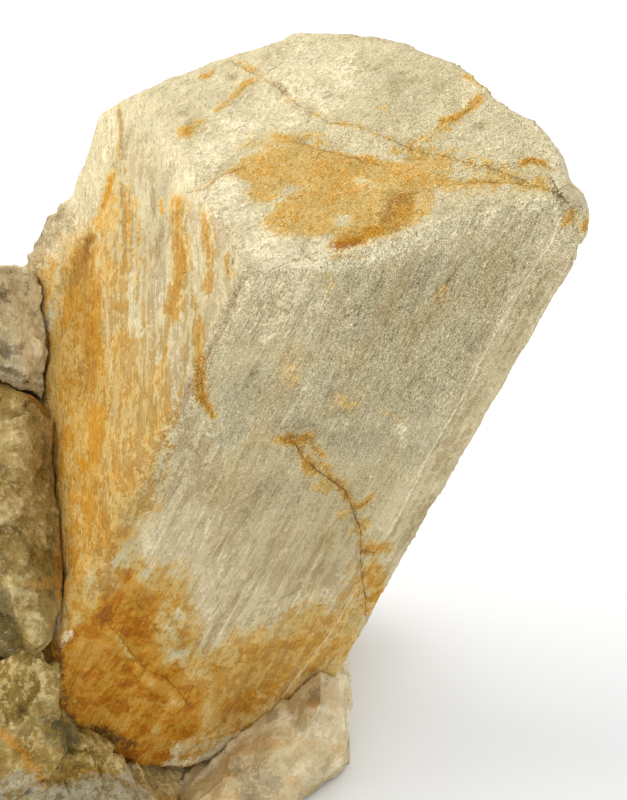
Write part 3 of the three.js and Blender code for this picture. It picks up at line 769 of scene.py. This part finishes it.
def inside(points, corners):
    """Distance from each point to a closed outline, above 0 within it."""
    within = np.zeros(len(points), bool)
    for (x0, y0), (x1, y1) in itertools.pairwise(corners + corners[:1]):
        between = (y0 > points[:, 1]) != (y1 > points[:, 1])
        crossing = x0 + (x1 - x0) * (points[:, 1] - y0) / ((y1 - y0) or 1)
        within ^= between & (points[:, 0] < crossing)
    gap, _ = to_line(points, corners + corners[:1])
    return np.where(within, gap, -gap)


def cover(channels, channel, amount):
    """Lays a mark over a channel, so that marks that overlap don't add up."""
    channels[channel] = np.maximum(channels[channel], amount)


def lay_areas(channels, areas, pixels, shown):
    """Lays areas with soft edges over the channels, where the surface is shown."""
    for channel, strength, softness, corners in areas:
        edge = smooth(-1.3 * softness, 1.3 * softness, inside(pixels, corners))
        cover(channels, channel, strength * edge * shown)


def lay_strokes(channels, strokes, pixels, shown):
    """Lays brush strokes over the channels, where the surface is shown."""
    for channel, strength, half_width, corners in strokes:
        gap, _ = to_line(pixels, corners)
        cover(channels, channel, strength * (1 - smooth(0.1 * half_width, 1.5 * half_width, gap)) * shown)


# Meshes
def refined(node, cell):
    """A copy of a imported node's mesh, remade with even cells."""
    rough = bpy.data.objects.new("rough", node.data.copy())
    bpy.context.collection.objects.link(rough)
    remesh = rough.modifiers.new("cells", "REMESH")
    remesh.mode = "VOXEL"
    remesh.voxel_size = cell / METRE
    mesh = bpy.data.meshes.new_from_object(rough.evaluated_get(bpy.context.evaluated_depsgraph_get()))
    bpy.data.objects.remove(rough)
    mesh.materials.clear()
    mesh.shade_smooth()
    return mesh


def points_of(mesh):
    """The mesh's vertices in millimetres, and its normals."""
    count = len(mesh.vertices)
    points = np.empty(3 * count)
    normals = np.empty(3 * count)
    mesh.vertices.foreach_get("co", points)
    mesh.vertex_normals.foreach_get("vector", normals)
    return points.reshape(-1, 3) * METRE, normals.reshape(-1, 3)


def set_points(mesh, points):
    mesh.vertices.foreach_set("co", (points / METRE).ravel())
    mesh.update()


def set_channel(mesh, name, values):
    layer = mesh.attributes.new(name, "FLOAT", "POINT")
    layer.data.foreach_set("value", values.astype(np.float32))


def piece(name, node, mesh, material):
    """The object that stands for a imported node."""
    made = bpy.data.objects.new(name, mesh)
    bpy.context.collection.objects.link(made)
    mesh.materials.append(material)
    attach(made, "root")
    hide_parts(node)


# Materials
class Shader:
    """Short calls for one material's nodes. Sizes are millimetres."""

    def __init__(self, name):
        self.material = bpy.data.materials.new(name)
        self.material.use_nodes = True
        self.tree = self.material.node_tree
        self.surface = self.tree.nodes["Principled BSDF"]
        self.place = self.tree.nodes.new("ShaderNodeTexCoord").outputs["Object"]

    def put(self, socket, value):
        if isinstance(value, bpy.types.NodeSocket):
            self.tree.links.new(value, socket)
        else:
            socket.default_value = value

    def node(self, kind, inputs, output=0, **settings):
        made = self.tree.nodes.new("ShaderNode" + kind)
        for name, value in settings.items():
            setattr(made, name, value)
        for socket, value in inputs.items():
            self.put(made.inputs[socket], value)
        return made.outputs[output]

    def channel(self, name):
        return self.node("Attribute", {}, "Fac", attribute_name=name)

    def math(self, operation, *values, clamp=False):
        return self.node("Math", dict(enumerate(values)), operation=operation, use_clamp=clamp)

    def times(self, first, second, clamp=False):
        return self.math("MULTIPLY", first, second, clamp=clamp)

    def dot(self, axis):
        return self.node("VectorMath", {0: self.place, 1: tuple(axis)}, "Value", operation="DOT_PRODUCT")

    def grain(self, along, stretch):
        """Coordinates that are drawn out along one axis."""
        first = unit(np.cross(along, (0.3, 0.5, 0.8)))
        second = np.cross(along, first)
        axes = {"X": self.dot(first), "Y": self.dot(second), "Z": self.dot(along / stretch)}
        return self.node("CombineXYZ", axes)

    def shifted(self, where, seed):
        """Coordinates moved away, so that patterns with different seeds don't match."""
        return self.node("VectorMath", {0: where or self.place, 1: tuple(step * seed for step in SEED_STEP)})

    def noise(self, size, seed=0, where=None, detail=3.0, rough=0.55, output=0):
        settings = {"Vector": self.shifted(where, seed), "Scale": METRE / size, "Detail": detail,
                    "Roughness": rough}
        return self.node("TexNoise", settings, output)

    def ramp(self, value, low, high, start=0.0, end=1.0):
        ends = {"Value": value, "From Min": low, "From Max": high, "To Min": start, "To Max": end}
        return self.node("MapRange", ends, interpolation_type="SMOOTHSTEP")

    def pattern(self, size, seed, detail, rough, spread=0.2):
        """Noise that goes all the way from 0 to 1, within that spread of its middle."""
        return self.ramp(self.noise(size, seed, None, detail, rough), 0.5 - spread, 0.5 + spread)

    def mix(self, factor, first, second):
        return self.node("MixRGB", {0: factor, 1: first, 2: second})

    def blend(self, factor, first, second):
        """A number between two, by factor."""
        return self.node("Mix", {0: factor, 2: first, 3: second}, data_type="FLOAT")

    def stain(self, channel, ragged, most=1.0, reach=0.9, soft=0.35):
        """How much a stain covers, up to most: a soft part, and a part that noise from 0 to 1 cuts off."""
        painted = self.channel(channel)
        pushed = self.math("ADD", painted, self.math("MULTIPLY_ADD", ragged, reach, -0.5 * reach))
        cut = self.times(self.ramp(pushed, 0.34, 0.66), most * (1 - soft))
        total = self.math("MULTIPLY_ADD", painted, most * soft, cut)
        return self.times(total, self.ramp(painted, 0.02, 0.2), clamp=True)

    def sum(self, *weighted):
        """A weighted sum of values, as (value, weight) pairs."""
        total = 0.0
        for value, weight in weighted:
            total = self.math("MULTIPLY_ADD", value, weight, total)
        return total

    def spread(self, *weighted):
        """A weighted sum of patterns whose weights add up to 1, spread out from 0 to 1 again."""
        return self.ramp(self.sum(*weighted), 0.28, 0.72)

    def swing(self, *weighted):
        """A weighted sum of patterns from 0 to 1, each counted from its middle."""
        return self.sum(*((self.math("SUBTRACT", value, 0.5), weight) for value, weight in weighted))

    def lighter(self, colour, amount):
        """A colour with an amount of white added to it, or taken away, as the eye counts it."""
        shown = self.node("Gamma", {"Color": colour, "Gamma": 1 / DISPLAY_GAMMA})
        moved = self.node("VectorMath", {0: shown, 1: amount})
        moved = self.node("VectorMath", {0: moved, 1: (0.0, 0.0, 0.0)}, operation="MAXIMUM")
        return self.node("Gamma", {"Color": moved, "Gamma": DISPLAY_GAMMA})

    def mosaic(self, size, seed, feature, output):
        """Angular cells with slightly bent edges."""
        direction = self.noise(0.6 * size, seed, None, 2.0, 0.5, "Color")
        push = self.node("VectorMath", {0: direction, 1: (0.4 * size / METRE,) * 3}, operation="MULTIPLY")
        bent = self.node("VectorMath", {0: self.place, 1: push})
        cells = {"Vector": self.shifted(bent, seed), "Scale": METRE / size}
        return self.node("TexVoronoi", cells, output, feature=feature)

    def bumps(self, *layers):
        """Bumps laid one over the other, as (height, depth) pairs."""
        normal = None
        for height, depth in layers:
            inputs = {"Height": height, "Distance": depth / METRE, "Strength": 1.0}
            if normal:
                inputs["Normal"] = normal
            normal = self.node("Bump", inputs)
        return normal

    def finish(self, colour, roughness, shine, normal):
        inputs = {"Base Color": colour, "Roughness": roughness, "Specular IOR Level": shine, "Normal": normal}
        for name, value in inputs.items():
            self.put(self.surface.inputs[name], value)
        return self.material


def crystal_grains(s):
    """Patterns from 0 to 1: blotches, sugar, and threads that follow the grain of each face."""
    fields = (s.grain(LENGTH, 12.0), s.grain(LEFT_GRAIN, 9.0), s.grain(TOP_GRAIN, 5.0))
    left = s.channel("left_face")
    top = s.channel("top_face")

    def threads(size, seed, detail):
        lengthwise, leftwise, topwise = (s.noise(size, seed, field, detail) for field in fields)
        return s.ramp(s.blend(top, s.blend(left, lengthwise, leftwise), topwise), 0.3, 0.7)

    return SimpleNamespace(
        mottle=s.pattern(6.0, 1, 4.0, 0.6),
        patchy=s.pattern(1.7, 2, 4.0, 0.7),
        grit=s.pattern(0.7, 10, 2.0, 0.7),
        flecks=s.noise(0.42, 21, s.grain(LENGTH, 2.2), 2.0),
        sugar=s.ramp(s.noise(0.15, 3, s.grain(LENGTH, 1.5), 1.0), 0.25, 0.75),
        streaks=threads(3.4, 6, 3.0),
        threads=threads(1.2, 4, 3.0),
        fine=threads(0.4, 5, 1.0),
    )


def crystal_ground(s, g):
    """The clean crystal: cream to grey, with soft cool blotches and olive streaks."""
    ragged = s.spread((g.patchy, 0.5), (g.grit, 0.2), (g.threads, 0.3))
    cloudy = s.spread((g.mottle, 0.3), (g.patchy, 0.4), (g.threads, 0.3))
    colour = s.mix(s.stain("grey", ragged, 0.95, 0.6, 0.6), linear(CREAM), linear(GREY))
    colour = s.mix(s.stain("warm", cloudy, 0.65, 0.9, 0.5), colour, linear(WARM))
    colour = s.mix(s.stain("cool", cloudy, 0.55, 0.9, 0.5), colour, linear(COOL))
    return s.mix(s.ramp(g.streaks, 0.55, 1.0, 0.0, 0.4), colour, linear(OLIVE))


def crack_halo(s):
    """A thin stain along some stretches of the dark lines."""
    dark_side = s.times(s.channel("line_tone"), -1.0, clamp=True)
    near = s.times(s.ramp(s.channel("line_gap"), 0.1, 1.3, 0.4, 0.0), s.ramp(dark_side, 0.55, 0.8))
    return s.times(near, s.ramp(s.noise(4.0, 17), 0.42, 0.6))


def iron_stained(s, g, colour):
    """Iron stain over a colour: cloudy inside, ragged at its edges, broken into a mosaic near the foot."""
    mosaic = s.channel("mosaic")
    unstriped = s.times(mosaic, 0.85)
    ragged = s.spread((g.patchy, 0.4), (g.threads, 0.25), (g.fine, 0.15), (g.grit, 0.2))
    ragged = s.blend(unstriped, ragged, g.patchy)
    cloudy = s.spread((g.mottle, 0.4), (g.streaks, 0.25), (g.patchy, 0.2), (g.grit, 0.15))
    cloudy = s.blend(unstriped, cloudy, g.mottle)
    cell_tone = s.node("SeparateXYZ", {0: s.mosaic(3.2, 12, "F1", "Color")})

    painted = s.channel("iron")
    thick = s.math("MAXIMUM", painted, crack_halo(s))
    lean = s.swing((ragged, s.ramp(thick, 0.12, 0.45, 0.8, 0.14)),
                   (cloudy, s.ramp(s.channel("top_face"), 0.0, 1.0, 0.3, 0.18)),
                   (cell_tone, s.times(mosaic, 0.28)), (g.patchy, s.times(mosaic, 0.3)))
    thick = s.math("MULTIPLY_ADD", lean, s.ramp(thick, 0.01, 0.3), thick)
    least = s.times(s.ramp(painted, 0.25, 0.6, 0.0, 0.58), mosaic)
    thick = s.math("MAXIMUM", thick, least)
    for low, high, tone in IRON_TONES:
        colour = s.mix(s.ramp(thick, low, high), colour, linear(tone))
    seam = s.ramp(s.mosaic(3.2, 12, "DISTANCE_TO_EDGE", "Distance"), 0.0, 0.06, 0.4, 0.0)
    seam = s.times(seam, s.times(mosaic, s.ramp(g.mottle, 0.4, 0.9)))
    return s.mix(seam, colour, linear(CRACK_AND_GROOVE_SHADE))


def crystal_light(s, g):
    """How much lighter or darker each place is than its colour: sugar, streaks and fine striations, painted
    light and shade by the height of the relief, and painted glints.
    """
    sugary = s.channel("sugary")
    lightness = s.swing((g.sugar, s.times(sugary, 0.38)), (g.grit, 0.03), (g.patchy, 0.045), (g.mottle, 0.04),
                        (g.streaks, 0.05), (g.threads, 0.045), (g.fine, 0.025), (s.channel("height"), 0.08))
    bright = s.times(s.ramp(g.fine, 0.8, 1.0), s.ramp(g.mottle, 0.45, 0.8))
    scored = s.times(s.ramp(g.fine, 0.2, 0.0), s.ramp(g.mottle, 0.55, 0.2))
    # Painted glints: bright specks that stand in for sparkle
    glints = s.times(s.ramp(g.flecks, 0.56, 0.7), sugary)
    pits = s.times(s.ramp(g.flecks, 0.44, 0.3), sugary)
    return s.sum((lightness, 1.0), (bright, 0.04), (scored, -0.05), (glints, 0.12), (pits, -0.14))


def crack_shade_and_highlight_lines(s):
    """The fine lines, each from 0 to 1: dark ones, for cracks and for painted shade along grooves, and bright
    ones, painted highlights along ridges and edges.
    """
    wander = s.sum((s.noise(2.0, 8), 0.7), (s.noise(0.6, 14), 0.3))
    side = s.math("ABSOLUTE", s.math("ADD", s.channel("line_side"), s.math("ADD", wander, -0.5)))
    near = s.ramp(s.channel("line_gap"), 0.35, 0.8, 1.0, 0.0)
    width = s.ramp(s.noise(2.6, 9), 0.4, 0.62, 0.06, 0.18)
    tone = s.channel("line_tone")
    dark = s.times(near, s.ramp(s.math("DIVIDE", side, width), 0.4, 1.3, 1.0, 0.0))
    dark = s.times(dark, s.times(tone, -0.8, clamp=True))
    broken = s.ramp(s.noise(3.2, 16), 0.36, 0.56, 0.5, 1.0)
    # Painted highlight along ridges and edges
    bright = s.times(s.times(near, broken), s.ramp(side, 0.03, 0.22, 1.0, 0.0))
    bright = s.times(bright, s.times(tone, 1.05, clamp=True))
    return dark, bright


def crystal_material():
    """Sugary cream and grey spodumene, with ochre to rust stains that follow its grain."""
    s = Shader("spodumene")
    g = crystal_grains(s)
    dark_line, highlight_line = crack_shade_and_highlight_lines(s)
    speckled = s.spread((g.patchy, 0.4), (g.grit, 0.35), (g.fine, 0.25))
    blotchy = s.spread((g.threads, 0.45), (g.patchy, 0.35), (g.grit, 0.2))

    colour = iron_stained(s, g, crystal_ground(s, g))
    colour = s.mix(s.stain("pale", speckled, 0.85, 1.1), colour, linear(PALE))
    colour = s.mix(s.stain("shade", blotchy, 0.6), colour, linear(BROWN))
    colour = s.mix(s.stain("dark", speckled, 0.85), colour, linear(DARK))
    colour = s.mix(dark_line, colour, linear(CRACK_AND_GROOVE_SHADE))
    colour = s.mix(highlight_line, colour, linear(EDGE_HIGHLIGHT))
    colour = s.lighter(colour, crystal_light(s, g))

    iron = s.channel("iron")
    roughness = s.math("MULTIPLY_ADD", iron, 0.12, s.blend(g.sugar, 0.46, 0.72))
    shine = s.ramp(iron, 0.1, 0.5, 0.4, 0.12)
    sugar = s.times(g.sugar, s.channel("sugary"))
    normal = s.bumps((s.math("SUBTRACT", highlight_line, dark_line), 0.07), (g.threads, 0.2), (g.patchy, 0.22),
                     (g.fine, 0.06), (g.grit, 0.1), (sugar, 0.07))
    return s.finish(colour, roughness, shine, normal)


def stain_hidden_sides(channels, points, local, hidden):
    """Guessed stains where the photograph shows nothing: runs along the crystal, more near its foot."""
    runs = layered(local * RUN_STRETCH, 6.0, 60)
    blots = layered(points, 16.0, 70)
    low = smooth(*STAINED_FOOT, local[:, 2])
    cover(channels, "ochre", hidden * smooth(-0.1, 0.5, 0.6 * runs + 0.7 * blots + 0.3 * low))
    cover(channels, "orange", hidden * smooth(0.25, 0.8, 0.7 * runs + 0.4 * blots + 0.7 * low))
    cover(channels, "rust", hidden * smooth(0.6, 1.1, 0.7 * runs + 0.4 * blots + 0.6 * low))
    cover(channels, "grey", hidden * smooth(-0.2, 0.4, -blots))


def crystal_channels(points, local, faces, pixels, shown):
    """What the crystal's material reads at each vertex, from 0 to 1."""
    front, left, top = faces
    right, back, up = local.T
    hidden = 1 - shown
    bent = bends(points, 3.2, 40)
    channels = {name: np.zeros(len(points)) for name in CRYSTAL_CHANNELS}
    # Grey by face, most on the front: the crystal's own grey, partly painted shade on the front face
    channels["grey"] += 0.4 * front + 0.1 * left + 0.12 * top
    lay_areas(channels, CRYSTAL_AREAS, pixels + CRYSTAL_AREA_BEND * bent, shown)
    lay_strokes(channels, CRYSTAL_STROKES, pixels + CRYSTAL_STROKE_BEND * bent, shown)
    stain_hidden_sides(channels, points, local, hidden)

    iron = np.max([level * channels.pop(name) for name, level in IRON_LEVELS.items()], axis=0)
    channels["iron"] = iron * (1 - channels.pop("clear"))
    sugary = front * (0.12 + 0.88 * smooth(*SUGARY_UP, up)) + 0.15 * left + 0.5 * hidden
    sugary += top * (0.1 + 0.3 * smooth(*SUGARY_RIGHT, right) + 0.45 * smooth(*SUGARY_FRONT, back))
    channels["sugary"] = sugary * (1 - channels.pop("calm"))
    channels["left_face"] = left
    channels["top_face"] = top
    return channels


def crystal_relief(points, local, top, pixels):
    """How far the crystal's skin moves out: wear, ribs along it, pits, the rim and the loose block."""
    worn = FINE_WEAR * layered(points, 2.4, 80) + BROAD_WEAR * layered(points, 9.0, 90)
    ribs = RIB_DEPTH * layered(local * RIB_STRETCH, 2.2, 100, 3) * (1 - top)
    pits = -PIT_DEPTH * smooth(0.35, 0.8, layered(points, 3.4, 110)) * (0.4 + 0.6 * top)
    rim_gap, _ = to_line(pixels, RIM_LINE)
    rim = RIM_BULGE * smooth(RIM_REACH, 0.3 * RIM_REACH, rim_gap) * (0.8 + 0.5 * layered(points, 1.6, 120))
    loose_gap, _ = to_line(pixels, LOOSE_LINE)
    loose = LOOSE_BULGE * smooth(LOOSE_REACH, 0.15 * LOOSE_REACH, loose_gap)
    return worn + ribs + pits + rim + loose


def crystal():
    """The spodumene crystal, with its stains, cracks and striations."""
    mesh = refined(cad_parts["spodumene_crystal"], CRYSTAL_CELL)
    points, normals = points_of(mesh)
    local = (points - CRYSTAL_CORNER) @ np.stack([ACROSS, INTO, LENGTH], 1)
    front = smooth(0.55, 0.85, -normals @ INTO)
    left = smooth(0.5, 0.8, normals @ LEFT_NORMAL)
    top = smooth(0.5, 0.8, normals @ TOP_NORMAL)
    pixels, facing = seen(points, normals)
    shown = smooth(0.0, 0.14, facing)
    for name, values in crystal_channels(points, local, (front, left, top), pixels, shown).items():
        set_channel(mesh, name, np.clip(values, 0, 1))

    gap, side, tone = nearest_line(pixels, CRYSTAL_LINES)
    gap = gap * PIXEL_SIZE
    set_channel(mesh, "line_gap", gap + OUT_OF_REACH * (1 - shown))
    set_channel(mesh, "line_side", side * PIXEL_SIZE)
    set_channel(mesh, "line_tone", tone)

    furrow = -FURROW_DEPTH * (1 - smooth(0.3, 1.1, gap)) * (tone < 0) * shown * -tone
    relief = crystal_relief(points, local, top, pixels) + furrow
    # The relief as a height from 0 to 1, which the material turns into painted light on its heights and
    # painted shade in its hollows
    set_channel(mesh, "height", smooth(-0.7, 0.5, relief))
    set_points(mesh, points + relief[:, None] * normals)
    piece("crystal", "spodumene_crystal", mesh, crystal_material())


def rock_material(name, tones, paints, coarse=5.0, gloss=0.5, fine=1.0, milky=0.0, shine=0.2):
    """Broken rock. The tones are two main ones, a lighter one on patches and, as painted light, on the
    heights, a dark one for painted shade in the hollows and for the seams, and a tint.
    Each painted place has its tone and the most that it covers. Fine is the strength of the grains."""
    s = Shader(name)
    first, second, light, shade_and_seam_tone, tint = (linear(tone) for tone in tones)
    broad = s.pattern(coarse, 1, 5.0, 0.62, 0.18)
    patchy = s.pattern(coarse * 0.36, 2, 5.0, 0.65)
    grit = s.pattern(0.8, 9, 2.0, 0.6)
    sugar = s.pattern(0.4, 3, 2.0, 0.7, 0.22)
    ragged = s.spread((broad, 0.25), (patchy, 0.4), (grit, 0.35))
    height = s.channel("height")
    facet_tone = s.node("SeparateXYZ", {0: s.mosaic(coarse * 0.45, 6, "F1", "Color")})
    seam = s.ramp(s.mosaic(coarse * 0.45, 6, "DISTANCE_TO_EDGE", "Distance"), 0.0, 0.08, 1.0, 0.0)
    seam = s.times(seam, s.ramp(broad, 0.5, 0.9))

    colour = s.mix(broad, first, second)
    colour = s.mix(s.ramp(s.noise(coarse * 0.5, 7, detail=4.0), 0.5, 0.66, 0.0, 0.5), colour, tint)
    # The lighter tone on patches and, as painted light, on the heights; then the dark tone as painted shade
    # in the hollows
    colour = s.mix(s.ramp(s.sum((patchy, 0.6), (height, 0.4)), 0.45, 0.95, 0.0, 0.65), colour, light)
    shaded_hollows = s.sum((s.noise(coarse * 0.4, 5, detail=5.0, rough=0.65), 1.0), (height, -0.14))
    colour = s.mix(s.ramp(shaded_hollows, 0.46, 0.66, 0.0, 0.65), colour, shade_and_seam_tone)
    for channel, tone, most in paints:
        colour = s.mix(s.stain(channel, ragged, most, 1.1), colour, linear(tone))
    colour = s.mix(s.times(seam, 0.25 * fine), colour, shade_and_seam_tone)
    # Lightness from facets and grains, and from the height: painted light on heights, painted shade in
    # hollows
    colour = s.lighter(colour, s.swing((facet_tone, 0.06 * fine), (grit, 0.08 * fine), (sugar, 0.07 * fine),
                                       (patchy, 0.05), (height, 0.14)))
    glint = s.ramp(s.noise(0.7, 8, detail=1.0), 0.7, 0.78, 0.0, 0.5 * fine)
    colour = s.mix(glint, colour, linear(GLINT))

    if milky:
        s.put(s.surface.inputs["Subsurface Weight"], milky)
        s.put(s.surface.inputs["Subsurface Radius"], MILKY_REACH)
        s.put(s.surface.inputs["Subsurface Scale"], MILKY_SCALE)
    normal = s.bumps((facet_tone, 0.12 * fine), (patchy, 0.3), (grit, 0.1 * fine), (sugar, 0.05 * fine))
    return s.finish(colour, s.blend(sugar, gloss - 0.14, gloss + 0.16), shine, normal)


def rock(name, node, seed, material, areas, strokes, coarse, depth, pushes):
    """One piece of the matrix, broken into facets and ledges, and pushed out at some places."""
    mesh = refined(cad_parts[node], ROCK_CELL)
    points, normals = points_of(mesh)
    pixels, facing = seen(points, normals)
    shown = smooth(-0.1, 0.1, facing)
    bent = bends(points, 4.0, seed + 40)
    channels = {channel: np.zeros(len(points)) for channel in ROCK_CHANNELS}
    lay_areas(channels, areas, pixels + ROCK_AREA_BEND * bent, shown)
    lay_strokes(channels, strokes, pixels + ROCK_STROKE_BEND * bent, shown)
    for channel, values in channels.items():
        set_channel(mesh, channel, values)

    skewed = points + FACET_SKEW * np.stack([layered(points, 6.0, seed + axis) for axis in range(3)], 1)
    broken = depth * chips(skewed, coarse, seed + 10) + 0.25 * depth * chips(skewed, 0.4 * coarse, seed + 20)
    worn = 0.5 * depth * layered(points, 0.6 * coarse, seed + 30)
    # The relief as a height from 0 to 1, which the material turns into painted light on heights and painted
    # shade in hollows
    set_channel(mesh, "height", smooth(-1.2 * depth, 1.2 * depth, broken + worn))
    moved = points + (broken + worn - 0.35 * depth)[:, None] * normals
    for pixel, reach, push in pushes:
        near = smooth(reach, 0.4 * reach, np.linalg.norm(pixels - pixel, axis=1))
        moved += near[:, None] * np.array(push)
    moved[:, 2] = np.maximum(moved[:, 2], 0)
    set_points(mesh, moved)
    piece(name, node, mesh, material)


def feldspar_block():
    """The grey-tan block beside the crystal's left face."""
    tones = [(190, 174, 130), (220, 206, 166), (240, 229, 196), (92, 76, 46), (180, 156, 106)]
    paints = [("light", (226, 208, 168), 0.8), ("dark", (96, 78, 46), 0.85), ("warm", (176, 126, 52), 0.8)]
    material = rock_material("grey_feldspar", tones, paints, coarse=6.0, fine=0.5)
    rock("feldspar_block", "upper_feldspar_block", 200, material,
         BLOCK_AREAS, BLOCK_STROKES, 9.0, 0.9, BLOCK_FOOT)


def quartz_tongue():
    """The smooth brown-grey tongue under the block."""
    tones = [(150, 124, 66), (172, 146, 86), (194, 172, 116), (86, 66, 28), (128, 98, 42)]
    paints = [("light", (190, 168, 116), 0.8), ("dark", (84, 70, 28), 0.85), ("warm", (184, 130, 48), 0.8)]
    material = rock_material("smoky_quartz", tones, paints, fine=0.6)
    rock("quartz_tongue", "smoky_quartz_tongue", 300, material,
         TONGUE_AREAS, TONGUE_STROKES, 5.5, 0.5, TONGUE_ENDS)


def dark_rock():
    """The dark rough rock under the tongue and in front of the crystal's foot."""
    tones = [(136, 110, 46), (166, 134, 62), (194, 166, 104), (54, 46, 20), (142, 116, 34)]
    paints = [("light", (210, 184, 124), 0.85), ("dark", (56, 52, 20), 0.9), ("warm", (190, 130, 36), 0.9),
              ("cold", (168, 160, 134), 0.85)]
    material = rock_material("dark_rock", tones, paints, fine=0.7)
    rock("dark_rock", "dark_matrix", 400, material,
         DARK_AREAS, DARK_STROKES, 7.0, 0.7, DARK_ENDS)


def pale_quartz():
    """The creamy, slightly translucent quartz under the crystal's lower end."""
    tones = [(204, 182, 132), (209, 189, 142), (218, 200, 156), (190, 162, 110), (202, 168, 110)]
    paints = [("light", (230, 215, 180), 0.65), ("dark", (134, 114, 78), 0.75),
              ("warm", (198, 148, 78), 0.75)]
    material = rock_material("pale_quartz", tones, paints, 7.0, gloss=0.32, fine=0.12, milky=0.2, shine=0.5)
    rock("pale_quartz", "pale_quartz_matrix", 500, material,
         PALE_AREAS, PALE_STROKES, 10.0, 0.8, PALE_END)


def stage():
    """A plain pale floor."""
    bpy.ops.mesh.primitive_plane_add(size=FLOOR_SIZE)
    floor = bpy.context.object
    floor.name = "floor"
    material = bpy.data.materials.new("floor")
    material.use_nodes = True
    surface = material.node_tree.nodes["Principled BSDF"]
    surface.inputs["Base Color"].default_value = linear(FLOOR)
    surface.inputs["Roughness"].default_value = FLOOR_ROUGHNESS
    floor.data.materials.append(material)


def lights():
    """A pale sky and one soft square light that looks at the specimen."""
    scene = bpy.context.scene
    scene.view_settings.view_transform = "Standard"
    scene.view_settings.look = "None"
    world = bpy.data.worlds.new("studio")
    scene.world = world
    world.use_nodes = True
    sky = world.node_tree.nodes["Background"]
    sky.inputs["Color"].default_value = SKY_COLOUR
    sky.inputs["Strength"].default_value = SKY_STRENGTH

    lamp = bpy.data.lights.new("key", "AREA")
    lamp.size = KEY_SIZE
    lamp.energy = KEY_POWER
    lamp.color = KEY_COLOUR
    key = bpy.data.objects.new("key", lamp)
    bpy.context.collection.objects.link(key)
    key.location = KEY_PLACE
    away = np.array(KEY_PLACE) * METRE - AIM
    lean = math.acos(away[2] / np.linalg.norm(away))
    key.rotation_euler = (lean, 0, math.atan2(away[1], away[0]) + math.pi / 2)


def camera():
    """The photograph's view of the specimen."""
    view = bpy.data.cameras.new("camera")
    view.lens = LENS
    view.sensor_width = SENSOR
    view.clip_start = CLIP_START
    made = bpy.data.objects.new("camera", view)
    bpy.context.collection.objects.link(made)
    made.location = CAMERA_PLACE / METRE
    made.rotation_euler = (math.pi / 2 - ELEVATION, 0, 0)
    bpy.context.scene.camera = made


crystal()
feldspar_block()
quartz_tongue()
dark_rock()
pale_quartz()
stage()
lights()
camera()
